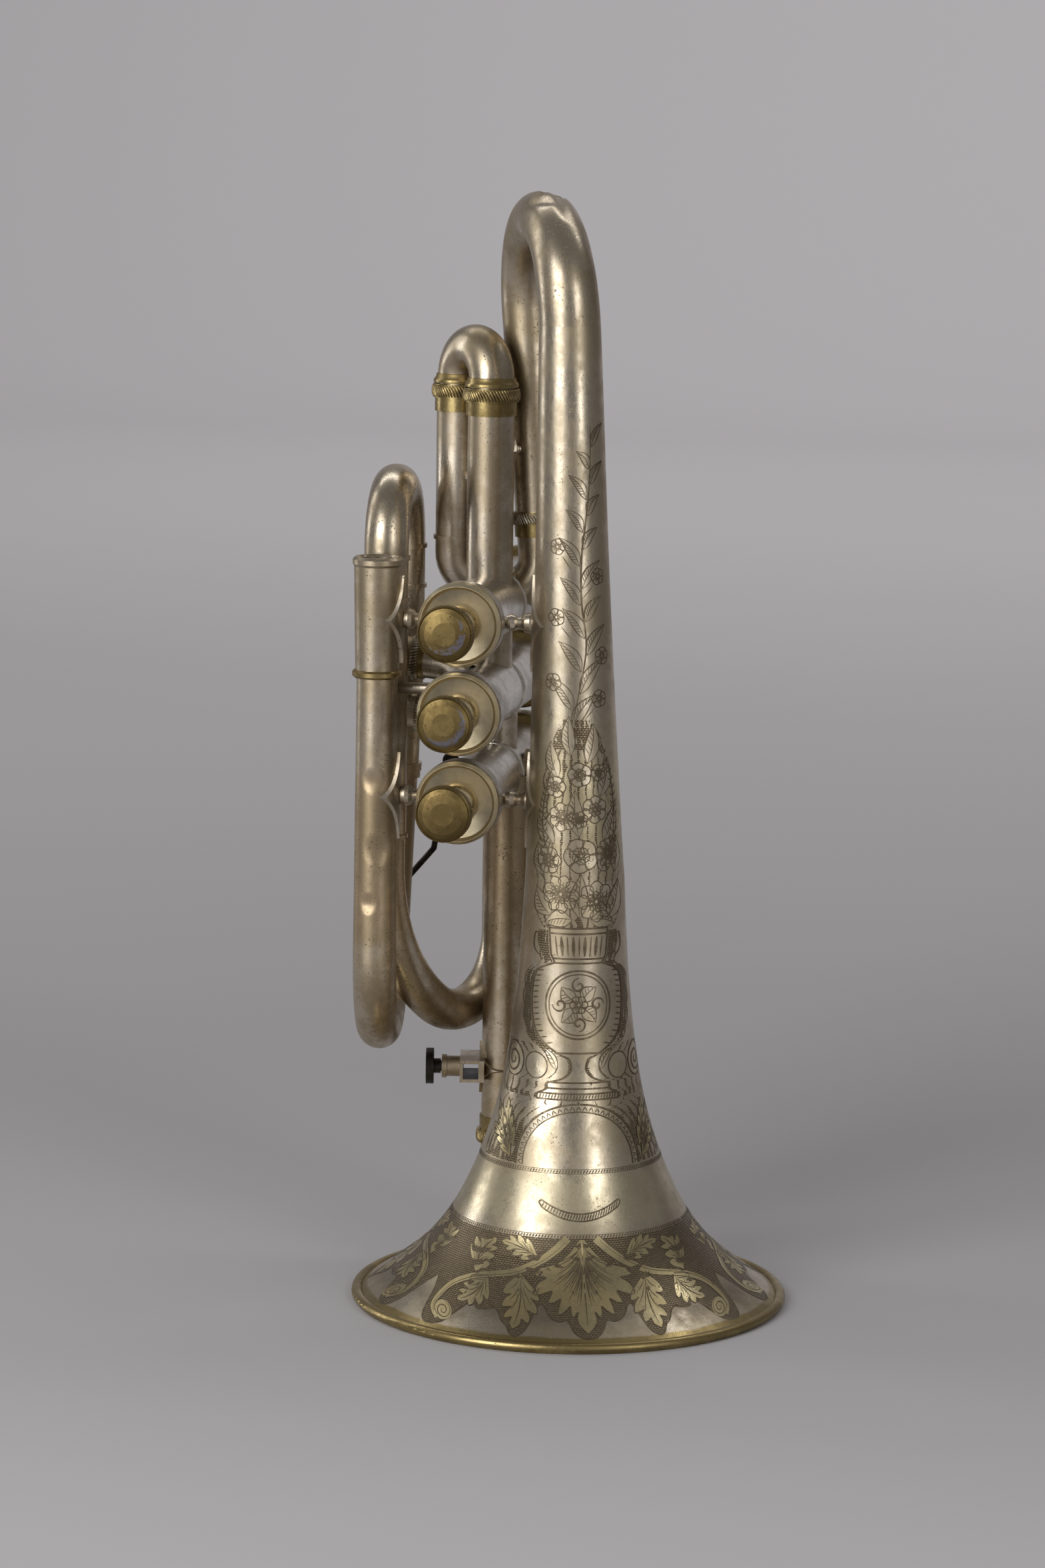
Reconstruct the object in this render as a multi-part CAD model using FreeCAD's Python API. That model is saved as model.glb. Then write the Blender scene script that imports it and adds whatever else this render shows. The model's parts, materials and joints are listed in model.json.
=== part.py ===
"""Cornet that stands on its bell rim, in millimetres.

The origin is on the bell axis in the rim plane. +Z runs up the bell axis, the finger buttons
point to -Y and the leadpipe lies towards -X.
"""
import FreeCAD, Part
import math
import os

Vector = FreeCAD.Vector
X_AXIS = Vector(1, 0, 0)
Y_AXIS = Vector(0, 1, 0)
Z_AXIS = Vector(0, 0, 1)

# Bell: the shares are (height along the bell, outer radius) of bell_length and of the rim radius
bell_rim_d = 120.0
bell_length = 268.0
bell_wall = 0.7
rim_wire_d = 3.0
rim_land_depth = 0.1
flare_shares = ((0.027, 0.833), (0.0653, 0.635), (0.1362, 0.446), (0.2067, 0.340), (0.2765, 0.284),
                (0.3463, 0.2515), (0.4403, 0.2265))
stem_shares = ((0.534, 0.2055), (0.6216, 0.1895), (0.7634, 0.1665), (0.8918, 0.1512), (1.0, 0.1375))
stem_lean_deg = 1.4

# Bell bow and return tube
bow_back = 47.0
bow_left = 20.0
bow_lean_deg = 3.9
bow_rise = 1.9
bow_end_d = 12.9
bow_wall = 0.6
bow_ferrule_z = 206.0
bow_ferrule_length = 7.0
bow_ferrule_d = 14.6
bow_collar_d = 13.8
bow_knurl_length = 3.6
return_d = 12.6
return_bend_r = 9.0

# Tubing shared by the slides
air_bore_d = 10.2
slide_leg_d = 11.2
slide_clearance = 0.04
sleeve_d = 12.2
crook_d = 12.2
ferrule_d = 14.3
ferrule_collar_d = 13.2
ferrule_length = 7.6
knurl_length = 3.8
collar_length = 1.6
ring_width = 1.1
ring_proud = 0.55

# Valves
valve_x = -31.1
valve_top_z = 187.1
valve_pitch = 24.3
casing_d = 17.8
valve_bore_d = 16.2
piston_clearance = 0.03
casing_front_y = -7.4
casing_back_y = 90.0
casing_bead_y = 41.3
casing_bead_d = 18.9
casing_bead_width = 1.6
cap_d = 22.8
cap_length = 8.5
cap_edge = 0.8
cap_disc = 1.4
cap_dish = 1.5
cap_rim_width = 0.9
cap_collar_d = 9.4
cap_collar_height = 2.0
thread_clearance = 0.02
bottom_cap_length = 8.0
bottom_cap_dome = 2.0
bottom_cap_dome_share = 0.7
bottom_cap_width_share = 0.55
bottom_vent_d = 2.4
stem_d = 4.0
stem_hole_clearance = 0.4
valve_travel = 13.0
button_gap = 0.5
felt_thickness = 2.0
felt_d = 12.6
button_d = 15.2
button_height = 4.5
button_rim = 0.7
button_dome = 0.9
button_rim_dip_share = 0.6
button_rim_crest_share = 0.4
button_dome_shares = ((0.0, 0.0), (0.0, 0.45), (0.35, 0.8), (1.0, 1.0))
piston_front_y = -5.6
piston_back_y = 67.0
piston_wall = 0.8
piston_disc = 1.2
passage_d = 8.0
passage_wall = 0.4
passage_bow_r = 3.5
passage_bow_share = 0.62
straight_turn_deg = 175.0
spring_d = 12.0
spring_wire_d = 0.9
spring_seat_gap = 0.3
spring_guide_depth = 3.0

# Where each tube meets its casing: (turn about the valve axis from +X towards +Z, in degrees,
# and the level along the valve, in millimetres)
knuckle_12_y = 37.0
knuckle_23_y = 47.0
knuckle_d = 12.0
down_deg = 270.0
up_deg = 90.0
return_port_deg = 30.0
first_a_y = 33.5
first_b_y = 46.5
first_b_port_deg = 139.0
second_near_y = 24.0
second_near_port_deg = 135.0
second_far_y = 32.0
second_far_port_deg = 228.0
third_near_y = 42.0
third_near_port_deg = 299.0
third_far_y = 50.5
third_far_port_deg = 0.0
loop_valve_y = 60.5

# First slide: leg a stands on casing 1, leg b comes in from the left
first_sleeve_d = 13.0
first_crook_d = 12.6
first_leg_d = 12.0
first_bore_d = 11.0
first_ferrule_d = 15.1
first_collar_d = 14.1
first_bend_r = 8.0
first_b_left = 11.4
first_crook_z = 250.0
first_ferrule_top_z = 248.0
first_leg_depth = 42.0

# Second slide: both legs point left and a little up
second_tilt_deg = 6.0
second_near_above = 8.7
second_far_below = 7.3
second_crook_left = 19.5
second_crook_leg = 0.4
second_sleeve_d = 11.0
second_leg_d = 10.2
second_bore_d = 9.4
second_ferrule_d = 12.6
second_collar_d = 11.9
second_ferrule_length = 3.9
second_knurl_length = 2.5
second_leg_depth = 6.8
second_bend_r = 5.8
knob_d = 3.4
knob_length = 2.6
knob_stalk_d = 2.2

# Third slide: both legs point down beside the bell
third_near_x = -26.8
third_far_x = -12.2
third_crook_z = 31.7
third_ferrule_end_z = 32.7
third_leg_depth = 42.0
third_bend_r = 8.0

# Leadpipe side
leadpipe_x = -55.3
leadpipe_y = -1.8
leadpipe_d = 11.2
front_bow_d = 12.0
front_bow_z = 92.3
front_bow_back = 46.3
front_bow_left = 5.9
tube_wall = 0.5
receiver_top_z = 204.1
receiver_bottom_z = 171.0
receiver_d = 13.1
receiver_low_d = 12.0
receiver_lip_d = 13.9
receiver_lip_height = 2.6
receiver_bore_d = 10.0
receiver_bore_length = 24.0
receiver_mouth_d = 11.0
receiver_seat_depth = 6.0
receiver_ring_d = 13.7
receiver_ring_height = 2.2

# Tuning slide, with the riser behind and the downpipe in front
downpipe_x = -55.9
downpipe_y = 12.0
main_back = 32.5
main_left = 1.9
main_crook_z = 204.2
main_sleeve_top_z = 202.8
main_ring_drop = 11.8
main_leg_depth = 30.0
riser_knee_z = 169.0
riser_bend_r = 120.0
riser_collar_z = 138.5
riser_collar_d = 14.0
riser_collar_height = 2.2
riser_band_height = 2.0
loop_top_z = 124.4
loop_straight = 7.3
loop_wide_r = 52.0
loop_wide_deg = 57.0
loop_d = 11.7

# Braces
brace_y = -0.3
brace_thickness = 0.7
pipe_flange_height = 24.0
pipe_flange_width = 11.0
bell_flange_height = 26.5
bell_flange_width = 17.0
slide_flange_height = 19.0
slide_flange_width = 11.2
flange_waist_share = 0.42
brace_profile_shares = ((0.0, 0.62), (0.10, 0.92), (0.22, 1.0), (0.34, 0.92), (0.44, 0.62), (0.52, 0.52),
                        (0.58, 0.70), (0.68, 0.80), (0.78, 0.70), (0.84, 0.50), (1.0, 0.66))
brace_d = 5.8
slide_brace_d = 4.4
slide_brace_z = 222.5
bow_stay_z = 230.5
casing_post_d = 3.3
casing_post_y = 9.0
casing_post_above = 4.0

# Lyre holder on the near leg of the third slide
lyre_z = 54.2
lyre_turn_deg = 10.0
lyre_box = 6.2
lyre_hole = 4.4
lyre_box_length = 15.0
lyre_flange_height = 15.0
lyre_flange_width = 13.4
boss_d = 5.9
boss_length = 5.2
boss_ring_d = 6.7
boss_ring_length = 1.4
screw_d = 3.0
screw_clearance = 0.05
screw_neck_d = 4.2
screw_neck_length = 2.0
screw_disc_d = 10.2
screw_disc_length = 2.2
screw_head_gap = 0.3

# Water key on the rear of the front bow
key_pivot_z = 86.0
key_pivot_back = 9.2
key_pin_d = 1.6
key_pin_clearance = 0.05
key_barrel_d = 3.4
key_barrel_length = 6.0
key_ear_thickness = 1.2
key_ear_height = 5.0
key_ear_gap = 0.15
key_wire_d = 1.7
key_nipple_d = 5.0
key_nipple_wall = 1.0
key_nipple_proud = 2.4
key_nipple_deg = 45.0
key_cork_d = 6.4
key_cork_thickness = 2.0
key_cup_d = 7.4
key_cup_thickness = 1.4
key_touch_d = 4.6
key_touch_thickness = 1.4
key_pin_head_d = 3.0
key_pin_head_length = 0.8
key_spring_width = 2.4
key_spring_thickness = 0.3
key_lever_reach = (9.0, 19.0, 27.2, 53.0)
key_lever_right = (0.4, 3.0, 9.9, 14.6)
key_lever_back = (2.6, 6.0, 6.4, 6.4)

cut_overrun = 4.0

valve_z = tuple(valve_top_z - valve_pitch * number for number in range(3))


def lean_vector(degrees):
    """Upward unit vector that leans towards -X."""
    angle = math.radians(degrees)
    return Vector(-math.sin(angle), 0, math.cos(angle))


def around_valve(degrees):
    """Unit vector square to the valve axis, turned from +X towards +Z."""
    angle = math.radians(degrees)
    return Vector(math.cos(angle), 0, math.sin(angle))


def line(start, end):
    return Part.LineSegment(start, end).toShape()


def arc(start, middle, end):
    return Part.Arc(start, middle, end).toShape()


def circle(centre, normal, diameter):
    return Part.Wire([Part.makeCircle(diameter / 2, centre, normal)])


def rod(start, end, diameter):
    return Part.makeCylinder(diameter / 2, (end - start).Length, start, end - start)


def ring(start, direction, length, outer_d, inner_d):
    """Plain tube along a direction."""
    end = start + Vector(direction).normalize() * length
    return rod(start, end, outer_d).cut(rod(start, end, inner_d))


def turned(points, base, direction):
    """Solid of revolution: points are (distance along the axis, radius), closed in order."""
    outline = Part.makePolygon([Vector(radius, 0, along) for along, radius in points + points[:1]])
    solid = Part.Face(outline).revolve(Vector(0, 0, 0), Z_AXIS, 360)
    solid.Placement = FreeCAD.Placement(base, FreeCAD.Rotation(Z_AXIS, direction))
    return solid


def sweep(edges, start_d, end_d=None):
    """Round solid along joined edges, with an even taper where an end diameter is given."""
    first = edges[0]
    last = edges[-1]
    profiles = [circle(first.valueAt(first.FirstParameter), first.tangentAt(first.FirstParameter), start_d)]
    if end_d is not None:
        profiles.append(circle(last.valueAt(last.LastParameter), last.tangentAt(last.LastParameter), end_d))
    return Part.Wire(edges).makePipeShell(profiles, True, False)


def u_edges(start, end, out, leg):
    """Two parallel legs of one length joined by a half circle on their far side."""
    near = start + out * leg
    far = end + out * leg
    middle = (near + far) * 0.5
    crown = middle + out * ((far - near).Length / 2)
    return [line(start, near), arc(near, crown, far), line(far, end)]


def elbow_edges(start, corner, end, bend_r):
    """Two straight runs joined by an arc of the given radius."""
    back = (start - corner).normalize()
    ahead = (end - corner).normalize()
    half_turn = (math.pi - back.getAngle(ahead)) / 2
    run = bend_r * math.tan(half_turn)
    centre = corner + (back + ahead).normalize() * (bend_r / math.cos(half_turn))
    enter = corner + back * run
    leave = corner + ahead * run
    middle = centre + (corner - centre).normalize() * bend_r
    return [line(start, enter), arc(enter, middle, leave), line(leave, end)]


def meeting(first, first_way, second, second_way):
    """Point where two lines cross, seen along Y; it keeps the level of the first line."""
    across = second - first
    turn = first_way.x * second_way.z - first_way.z * second_way.x
    along = (across.x * second_way.z - across.z * second_way.x) / turn
    return first + first_way * along


def valve_point(number, level):
    """Point on the axis of a valve."""
    return Vector(valve_x, level, valve_z[number])


def casing_blank(number):
    """Outside of a casing, filled: the tubes that meet it are cut to this shape."""
    body = rod(valve_point(number, casing_front_y), valve_point(number, casing_back_y), casing_d)
    edge = casing_bead_width / 4
    flat_r = casing_bead_d / 2
    bead = turned([(0, 0), (0, flat_r - edge), (edge, flat_r), (casing_bead_width - edge, flat_r),
                   (casing_bead_width, flat_r - edge), (casing_bead_width, 0)],
                  valve_point(number, casing_bead_y - casing_bead_width / 2), Y_AXIS)
    return body.fuse(bead)


def largest(shape):
    return max(shape.Solids, key=lambda piece: piece.Volume)


def fitted_to_casings(solid, numbers):
    """Ends of a tube cut to the round of the casings that it meets."""
    for number in numbers:
        solid = solid.cut(casing_blank(number))
    return largest(solid)


# Every port of each valve: the passage joins port 0 to port 1 at rest, and the pressed piston
# joins port 0 to port 2 and port 1 to port 3
ports = (
    ((down_deg, knuckle_12_y), (return_port_deg, bow_back), (up_deg, first_a_y),
     (first_b_port_deg, first_b_y)),
    ((down_deg, knuckle_23_y), (up_deg, knuckle_12_y), (second_far_port_deg, second_far_y),
     (second_near_port_deg, second_near_y)),
    ((down_deg, loop_valve_y), (up_deg, knuckle_23_y), (third_far_port_deg, third_far_y),
     (third_near_port_deg, third_near_y)),
)


# Bell

def flare_outline():
    """Outer curve of the flare from the rim wire up to the stem, and the inner one beside it."""
    rim_r = bell_rim_d / 2
    wire_r = rim_wire_d / 2
    points = [Vector(rim_r - wire_r, 0, wire_r - rim_land_depth)]
    points += [Vector(radius * rim_r, 0, height * bell_length) for height, radius in flare_shares]
    outer = Part.BSplineCurve()
    outer.interpolate(points)
    inner_points = []
    for point in points:
        place = outer.parameter(point)
        along = outer.tangent(place)[0]
        inner_points.append(point - Vector(along.z, 0, -along.x).normalize() * bell_wall)
    inner_points[-1] = Vector(points[-1].x - bell_wall, 0, points[-1].z)
    inner = Part.BSplineCurve()
    inner.interpolate(inner_points)
    return outer, inner


def stem_base():
    height, radius = flare_shares[-1]
    return Vector(0, 0, height * bell_length), radius * bell_rim_d / 2


def stem_axis_point(height_share):
    """Point on the leaning axis of the stem."""
    base, _ = stem_base()
    rise = height_share * bell_length - base.z
    return base + lean_vector(stem_lean_deg) * (rise / math.cos(math.radians(stem_lean_deg)))


def stem_solid(offset):
    """Filled stem whose radius is larger or smaller by an offset."""
    base, base_r = stem_base()
    wires = [circle(base, Z_AXIS, (base_r + offset) * 2)]
    for height, radius in stem_shares:
        size = (radius * bell_rim_d / 2 + offset) * 2
        wires.append(circle(stem_axis_point(height), lean_vector(stem_lean_deg), size))
    return Part.makeLoft(wires, True, False)


def make_bell():
    outer, inner = flare_outline()
    top_outer = outer.EndPoint
    top_inner = inner.EndPoint
    outline = Part.Wire([outer.toShape(), line(top_outer, top_inner), inner.toShape(),
                         line(inner.StartPoint, outer.StartPoint)])
    flare = Part.Face(outline).revolve(Vector(0, 0, 0), Z_AXIS, 360)
    rim_r = bell_rim_d / 2
    wire_r = rim_wire_d / 2
    wire = Part.makeTorus(rim_r - wire_r, wire_r, Vector(0, 0, wire_r - rim_land_depth))
    below = Part.makeCylinder(bell_rim_d, cut_overrun, Vector(0, 0, -cut_overrun))
    return wire.fuse(flare).cut(below)


def make_bell_stem():
    return stem_solid(0).cut(stem_solid(-bell_wall))


def flare_blank():
    """Outside of the flare, filled: a brace that comes down to it is cut to this shape."""
    outer, _ = flare_outline()
    foot = Vector(0, 0, outer.StartPoint.z)
    top = Vector(0, 0, outer.EndPoint.z)
    outline = Part.Wire([outer.toShape(), line(outer.EndPoint, top), line(top, foot),
                         line(foot, outer.StartPoint)])
    return Part.Face(outline).revolve(Vector(0, 0, 0), Z_AXIS, 360)


def bow_front():
    return stem_axis_point(1.0)


def bow_rear(height):
    """Point on the axis of the bow's rear leg, which leans with the bow."""
    front = bow_front()
    lean = lean_vector(bow_lean_deg)
    return Vector(front.x - bow_left, bow_back, front.z) + lean * ((height - front.z) / lean.z)


def bow_edges(end_height):
    """Spine of the bow, from the bell stem over to the rear leg."""
    lean = lean_vector(bow_lean_deg)
    front = bow_front()
    across = bow_rear(front.z)
    edges = u_edges(front, across, lean, bow_rise)
    return edges[:2] + [line(across + lean * bow_rise, bow_rear(end_height))]


def bow_joint_z():
    """Height at which the bow ends inside its ferrule."""
    return bow_ferrule_z + bow_ferrule_length / 2


def bow_blank(offset):
    """Filled bow, smaller all round by an offset, that starts square on the end of the stem."""
    stem_d = stem_shares[-1][1] * bell_rim_d
    edges = bow_edges(bow_joint_z())
    front = bow_front()
    below = front - lean_vector(stem_lean_deg) * cut_overrun
    tail = rod(front - lean_vector(bow_lean_deg) * cut_overrun, front, stem_d - offset * 2)
    blank = tail.fuse(sweep(edges, stem_d - offset * 2, bow_end_d - offset * 2))
    return blank.cut(rod(below - lean_vector(stem_lean_deg) * cut_overrun, front, bell_rim_d / 2))


def make_bell_bow():
    return bow_blank(0).cut(bow_blank(bow_wall))


def make_bow_ferrule():
    lean = lean_vector(bow_lean_deg)
    knurl_base = bow_rear(bow_ferrule_z + bow_ferrule_length - bow_knurl_length)
    knurl = ring(knurl_base, lean, bow_knurl_length, bow_ferrule_d, bow_end_d)
    collar_base = bow_rear(bow_ferrule_z)
    collar = ring(collar_base, lean, (knurl_base - collar_base).Length, bow_collar_d, bow_end_d)
    return knurl.fuse(collar).cut(bow_blank(0))


def make_return_tube():
    top = bow_rear(bow_joint_z())
    lean = lean_vector(bow_lean_deg)
    valve = valve_point(0, bow_back)
    towards = around_valve(return_port_deg)
    corner = meeting(top, lean, valve, towards)
    reach = valve + towards * (valve_bore_d / 2)
    edges = elbow_edges(top, corner, reach, return_bend_r)
    outer = sweep(edges, return_d).fuse(rod(top, top - lean * (bow_ferrule_length / 2), bow_end_d))
    tube = outer.cut(sweep(edges, return_d - tube_wall * 2))
    return fitted_to_casings(tube, (0,))


# Valves

def port_vector(port, radius):
    degrees, level = port
    return around_valve(degrees) * radius + Y_AXIS * level


def passage_edges(number, first, second, shift):
    """Spine of one passage through a piston, between two ports, bowed towards the axis."""
    mouth_r = valve_bore_d / 2 + slide_clearance
    centre = Vector(valve_x, -shift, valve_z[number])
    start = port_vector(first, mouth_r)
    end = port_vector(second, mouth_r)
    turn = abs(first[0] - second[0]) % 360
    turn = min(turn, 360 - turn)
    if turn > straight_turn_deg:
        return [line(centre + start, centre + end)]
    chord_middle = (start + end) * 0.5
    level = Y_AXIS * chord_middle.y
    outward = chord_middle - level
    bow_r = min(passage_bow_r, outward.Length * passage_bow_share)
    bow = level + outward.normalize() * bow_r
    return [arc(centre + start, centre + bow, centre + end)]


def passages(number):
    """Spines of the three passages of a piston, as they lie at rest."""
    lower, upper, third, fourth = ports[number]
    return (passage_edges(number, lower, upper, 0),
            passage_edges(number, lower, third, valve_travel),
            passage_edges(number, upper, fourth, valve_travel))


def make_casing(number):
    casing = casing_blank(number)
    bore = rod(valve_point(number, casing_front_y - cut_overrun),
               valve_point(number, casing_back_y + cut_overrun), valve_bore_d)
    casing = casing.cut(bore)
    for port in ports[number]:
        centre = Vector(valve_x, 0, valve_z[number])
        inside = centre + port_vector(port, valve_bore_d / 4)
        outside = centre + port_vector(port, casing_d / 2 + cut_overrun)
        casing = casing.cut(rod(inside, outside, passage_d))
    return casing


def piston_outer_d():
    return valve_bore_d - piston_clearance * 2


def make_piston(number):
    """Hollow drum whose three passages are tubes that run through it."""
    outer_d = piston_outer_d()
    front = valve_point(number, piston_front_y)
    back = valve_point(number, piston_back_y)
    drum = rod(front, back, outer_d)
    hollow_back = piston_back_y - piston_disc - spring_guide_depth
    hollow = rod(valve_point(number, piston_front_y + piston_disc), valve_point(number, hollow_back),
                 outer_d - piston_wall * 2)
    guide = rod(valve_point(number, piston_back_y - spring_guide_depth),
                valve_point(number, piston_back_y + cut_overrun), spring_d + spring_seat_gap * 2)
    socket = rod(valve_point(number, piston_front_y - cut_overrun),
                 valve_point(number, piston_front_y + piston_disc), stem_d)
    shell = drum.cut(hollow).cut(guide)
    for edges in passages(number):
        shell = shell.fuse(sweep(edges, passage_d + passage_wall * 2).common(drum))
    for edges in passages(number):
        shell = shell.cut(sweep(edges, passage_d))
    return shell.cut(socket)


def cap_face_y():
    """Front edge of a top cap."""
    return casing_front_y - cap_disc - cap_dish - cap_edge


def cap_collar_y():
    """Front of the small collar round the stem."""
    return casing_front_y - cap_disc - cap_collar_height


def button_base_y():
    return cap_collar_y() - button_gap - valve_travel - felt_thickness


def make_top_cap(number):
    """Dished disc with a thick rim, a collar for the stem and a skirt over the casing."""
    face = cap_face_y()
    disc_front = casing_front_y - cap_disc
    outer_r = cap_d / 2
    skirt_r = casing_d / 2 + thread_clearance
    rim_r = outer_r - cap_edge - cap_rim_width
    collar_r = cap_collar_d / 2
    hole_r = stem_d / 2 + stem_hole_clearance
    outline = [(0, outer_r - cap_edge), (cap_edge, outer_r), (cap_length - cap_edge, outer_r),
               (cap_length, outer_r - cap_edge), (cap_length, skirt_r), (casing_front_y - face, skirt_r),
               (casing_front_y - face, hole_r), (cap_collar_y() - face, hole_r),
               (cap_collar_y() - face, collar_r - cap_edge), (cap_collar_y() - face + cap_edge, collar_r),
               (disc_front - face, collar_r), (cap_edge + cap_rim_width / 2, rim_r), (0, rim_r + cap_edge)]
    return turned(outline, valve_point(number, face), Y_AXIS)


def make_bottom_cap(number):
    """Domed cap with a vent hole and a skirt over the casing."""
    start = casing_back_y + cap_disc - bottom_cap_length
    skirt_r = casing_d / 2 + thread_clearance
    outer_r = cap_d / 2
    vent_r = bottom_vent_d / 2
    seat = casing_back_y - start
    shoulder = bottom_cap_length + bottom_cap_dome * bottom_cap_dome_share
    top = bottom_cap_length + bottom_cap_dome
    outline = [(0, skirt_r), (0, outer_r - cap_edge), (cap_edge, outer_r),
               (bottom_cap_length - cap_edge, outer_r), (bottom_cap_length, outer_r - cap_edge),
               (shoulder, outer_r * bottom_cap_width_share), (top, vent_r + cap_edge), (top, vent_r),
               (seat, vent_r), (seat, skirt_r)]
    return turned(outline, valve_point(number, start), Y_AXIS)


def make_stem(number):
    base = valve_point(number, button_base_y() - button_height / 2)
    shoulder = valve_point(number, piston_front_y)
    seat = valve_point(number, piston_front_y + piston_disc)
    return rod(base, shoulder, stem_d).fuse(rod(shoulder, seat, stem_d))


def make_button(number):
    """Domed finger button with a raised rim, screwed on to the stem."""
    top = button_base_y() - button_height
    outer_r = button_d / 2
    rim_in = outer_r - button_rim
    depth = button_height / 2
    outline = [(down * button_dome, across * rim_in) for down, across in button_dome_shares]
    outline += [(button_dome * button_rim_dip_share, rim_in + button_rim * button_rim_crest_share),
                (button_dome, outer_r), (button_height - button_rim, outer_r),
                (button_height, outer_r - button_rim), (button_height, stem_d / 2),
                (depth, stem_d / 2), (depth, 0)]
    return turned(outline, valve_point(number, top), Y_AXIS)


def make_felt(number):
    return ring(valve_point(number, button_base_y()), Y_AXIS, felt_thickness, felt_d, stem_d)


def make_spring(number):
    """The spring under the piston, as a plain sleeve of the coil's size."""
    start = valve_point(number, piston_back_y - spring_guide_depth + spring_seat_gap)
    length = casing_back_y - piston_back_y + spring_guide_depth - spring_seat_gap * 2
    return ring(start, Y_AXIS, length, spring_d, spring_d - spring_wire_d * 2)


def make_knuckles():
    """The two short tubes that join the casings."""
    pieces = []
    for number, level in ((0, knuckle_12_y), (1, knuckle_23_y)):
        tube = ring(valve_point(number + 1, level), Z_AXIS, valve_pitch, knuckle_d, air_bore_d)
        pieces.append(fitted_to_casings(tube, (number, number + 1)))
    return Part.Compound(pieces)


# Slides

def slide_bore_d():
    return slide_leg_d + slide_clearance * 2


def make_ferrule(end, out, length, knurl, outer_d, collar_d, inner_d):
    """Knurled ferrule and collar round the mouth of a sleeve; end is the mouth."""
    knurled = ring(end - out * knurl, out, knurl, outer_d, inner_d)
    collar = ring(end - out * length, out, length - knurl, collar_d, inner_d)
    return knurled.fuse(collar)


def third_ferrule(end, out):
    return make_ferrule(end, out, ferrule_length, knurl_length, ferrule_d, ferrule_collar_d, sleeve_d)


def first_ferrule(end, out):
    return make_ferrule(end, out, ferrule_length, knurl_length, first_ferrule_d, first_collar_d,
                        first_sleeve_d)


def make_slide(mouths, out, crook_leg, depth, outer_d, leg_d, bore_d):
    """The U that draws out: a crook outside the sleeves and two thinner legs inside them."""
    first, second = mouths
    crook = sweep(u_edges(first, second, out, crook_leg), outer_d)
    whole = u_edges(first - out * depth, second - out * depth, out, depth + crook_leg)
    return crook.fuse(sweep(whole, leg_d)).cut(sweep(whole, bore_d))


def large_slide(mouths, out, crook_leg, depth):
    return make_slide(mouths, out, crook_leg, depth, crook_d, slide_leg_d, air_bore_d)


def sleeve_rings(place, out, outer_d):
    """Raised ring round a tube."""
    return ring(place - out * (ring_width / 2), out, ring_width, outer_d + ring_proud * 2, outer_d)


def first_a(height):
    return Vector(valve_x, first_a_y, height)


def first_b(height):
    return Vector(valve_x - first_b_left, first_b_y, height)


def first_b_edges():
    valve = valve_point(0, first_b_y)
    rise = first_b_left * math.tan(math.radians(180 - first_b_port_deg))
    corner = first_b(valve.z + rise)
    reach = valve + around_valve(first_b_port_deg) * (valve_bore_d / 2)
    return elbow_edges(first_b(first_ferrule_top_z), corner, reach, first_bend_r)


def make_first_slide_sleeves():
    """Upright sleeve on casing 1, and the sleeve whose elbow comes in from the left."""
    bore_d = first_leg_d + slide_clearance * 2
    straight = ring(first_a(valve_z[0]), Z_AXIS, first_ferrule_top_z - valve_z[0], first_sleeve_d, bore_d)
    bent = sweep(first_b_edges(), first_sleeve_d).cut(sweep(first_b_edges(), bore_d))
    elbow_ring = sleeve_rings(first_b(valve_z[0] + casing_d), Z_AXIS, first_sleeve_d)
    return Part.Compound([fitted_to_casings(straight, (0,)), fitted_to_casings(bent.fuse(elbow_ring), (0,))])


def make_first_slide_ferrules():
    return Part.Compound([first_ferrule(place(first_ferrule_top_z), Z_AXIS) for place in (first_a, first_b)])


def make_first_slide():
    mouths = (first_a(first_ferrule_top_z), first_b(first_ferrule_top_z))
    return make_slide(mouths, Z_AXIS, first_crook_z - first_ferrule_top_z, first_leg_depth, first_crook_d,
                      first_leg_d, first_bore_d)


def second_out():
    angle = math.radians(second_tilt_deg)
    return Vector(-math.cos(angle), 0, math.sin(angle))


def second_mouths():
    """Mouths of the two sleeves, where the crook starts."""
    reach = second_out() * (second_crook_left / -second_out().x)
    near = Vector(valve_x, second_near_y, valve_z[1] + second_near_above)
    far = Vector(valve_x, second_far_y, valve_z[1] - second_far_below)
    return near + reach, far + reach


def make_second_slide_sleeves():
    """Near sleeve with its elbow into casing 2, and the straight far sleeve."""
    near, far = second_mouths()
    out = second_out()
    bore_d = second_leg_d + slide_clearance * 2
    towards = around_valve(second_near_port_deg)
    valve = valve_point(1, second_near_y)
    corner = meeting(near, out, valve, towards)
    edges = elbow_edges(near, corner, valve + towards * (valve_bore_d / 2), second_bend_r)
    bent = sweep(edges, second_sleeve_d).cut(sweep(edges, bore_d))
    straight = ring(far, out * -1, second_crook_left, second_sleeve_d, bore_d)
    return Part.Compound([fitted_to_casings(bent, (0, 1)), fitted_to_casings(straight, (1, 2))])


def make_second_slide_ferrules():
    return Part.Compound([make_ferrule(mouth, second_out(), second_ferrule_length, second_knurl_length,
                                       second_ferrule_d, second_collar_d, second_sleeve_d)
                          for mouth in second_mouths()])


def make_second_slide():
    return make_slide(second_mouths(), second_out(), second_crook_leg, second_leg_depth, second_sleeve_d,
                      second_leg_d, second_bore_d)


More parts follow.
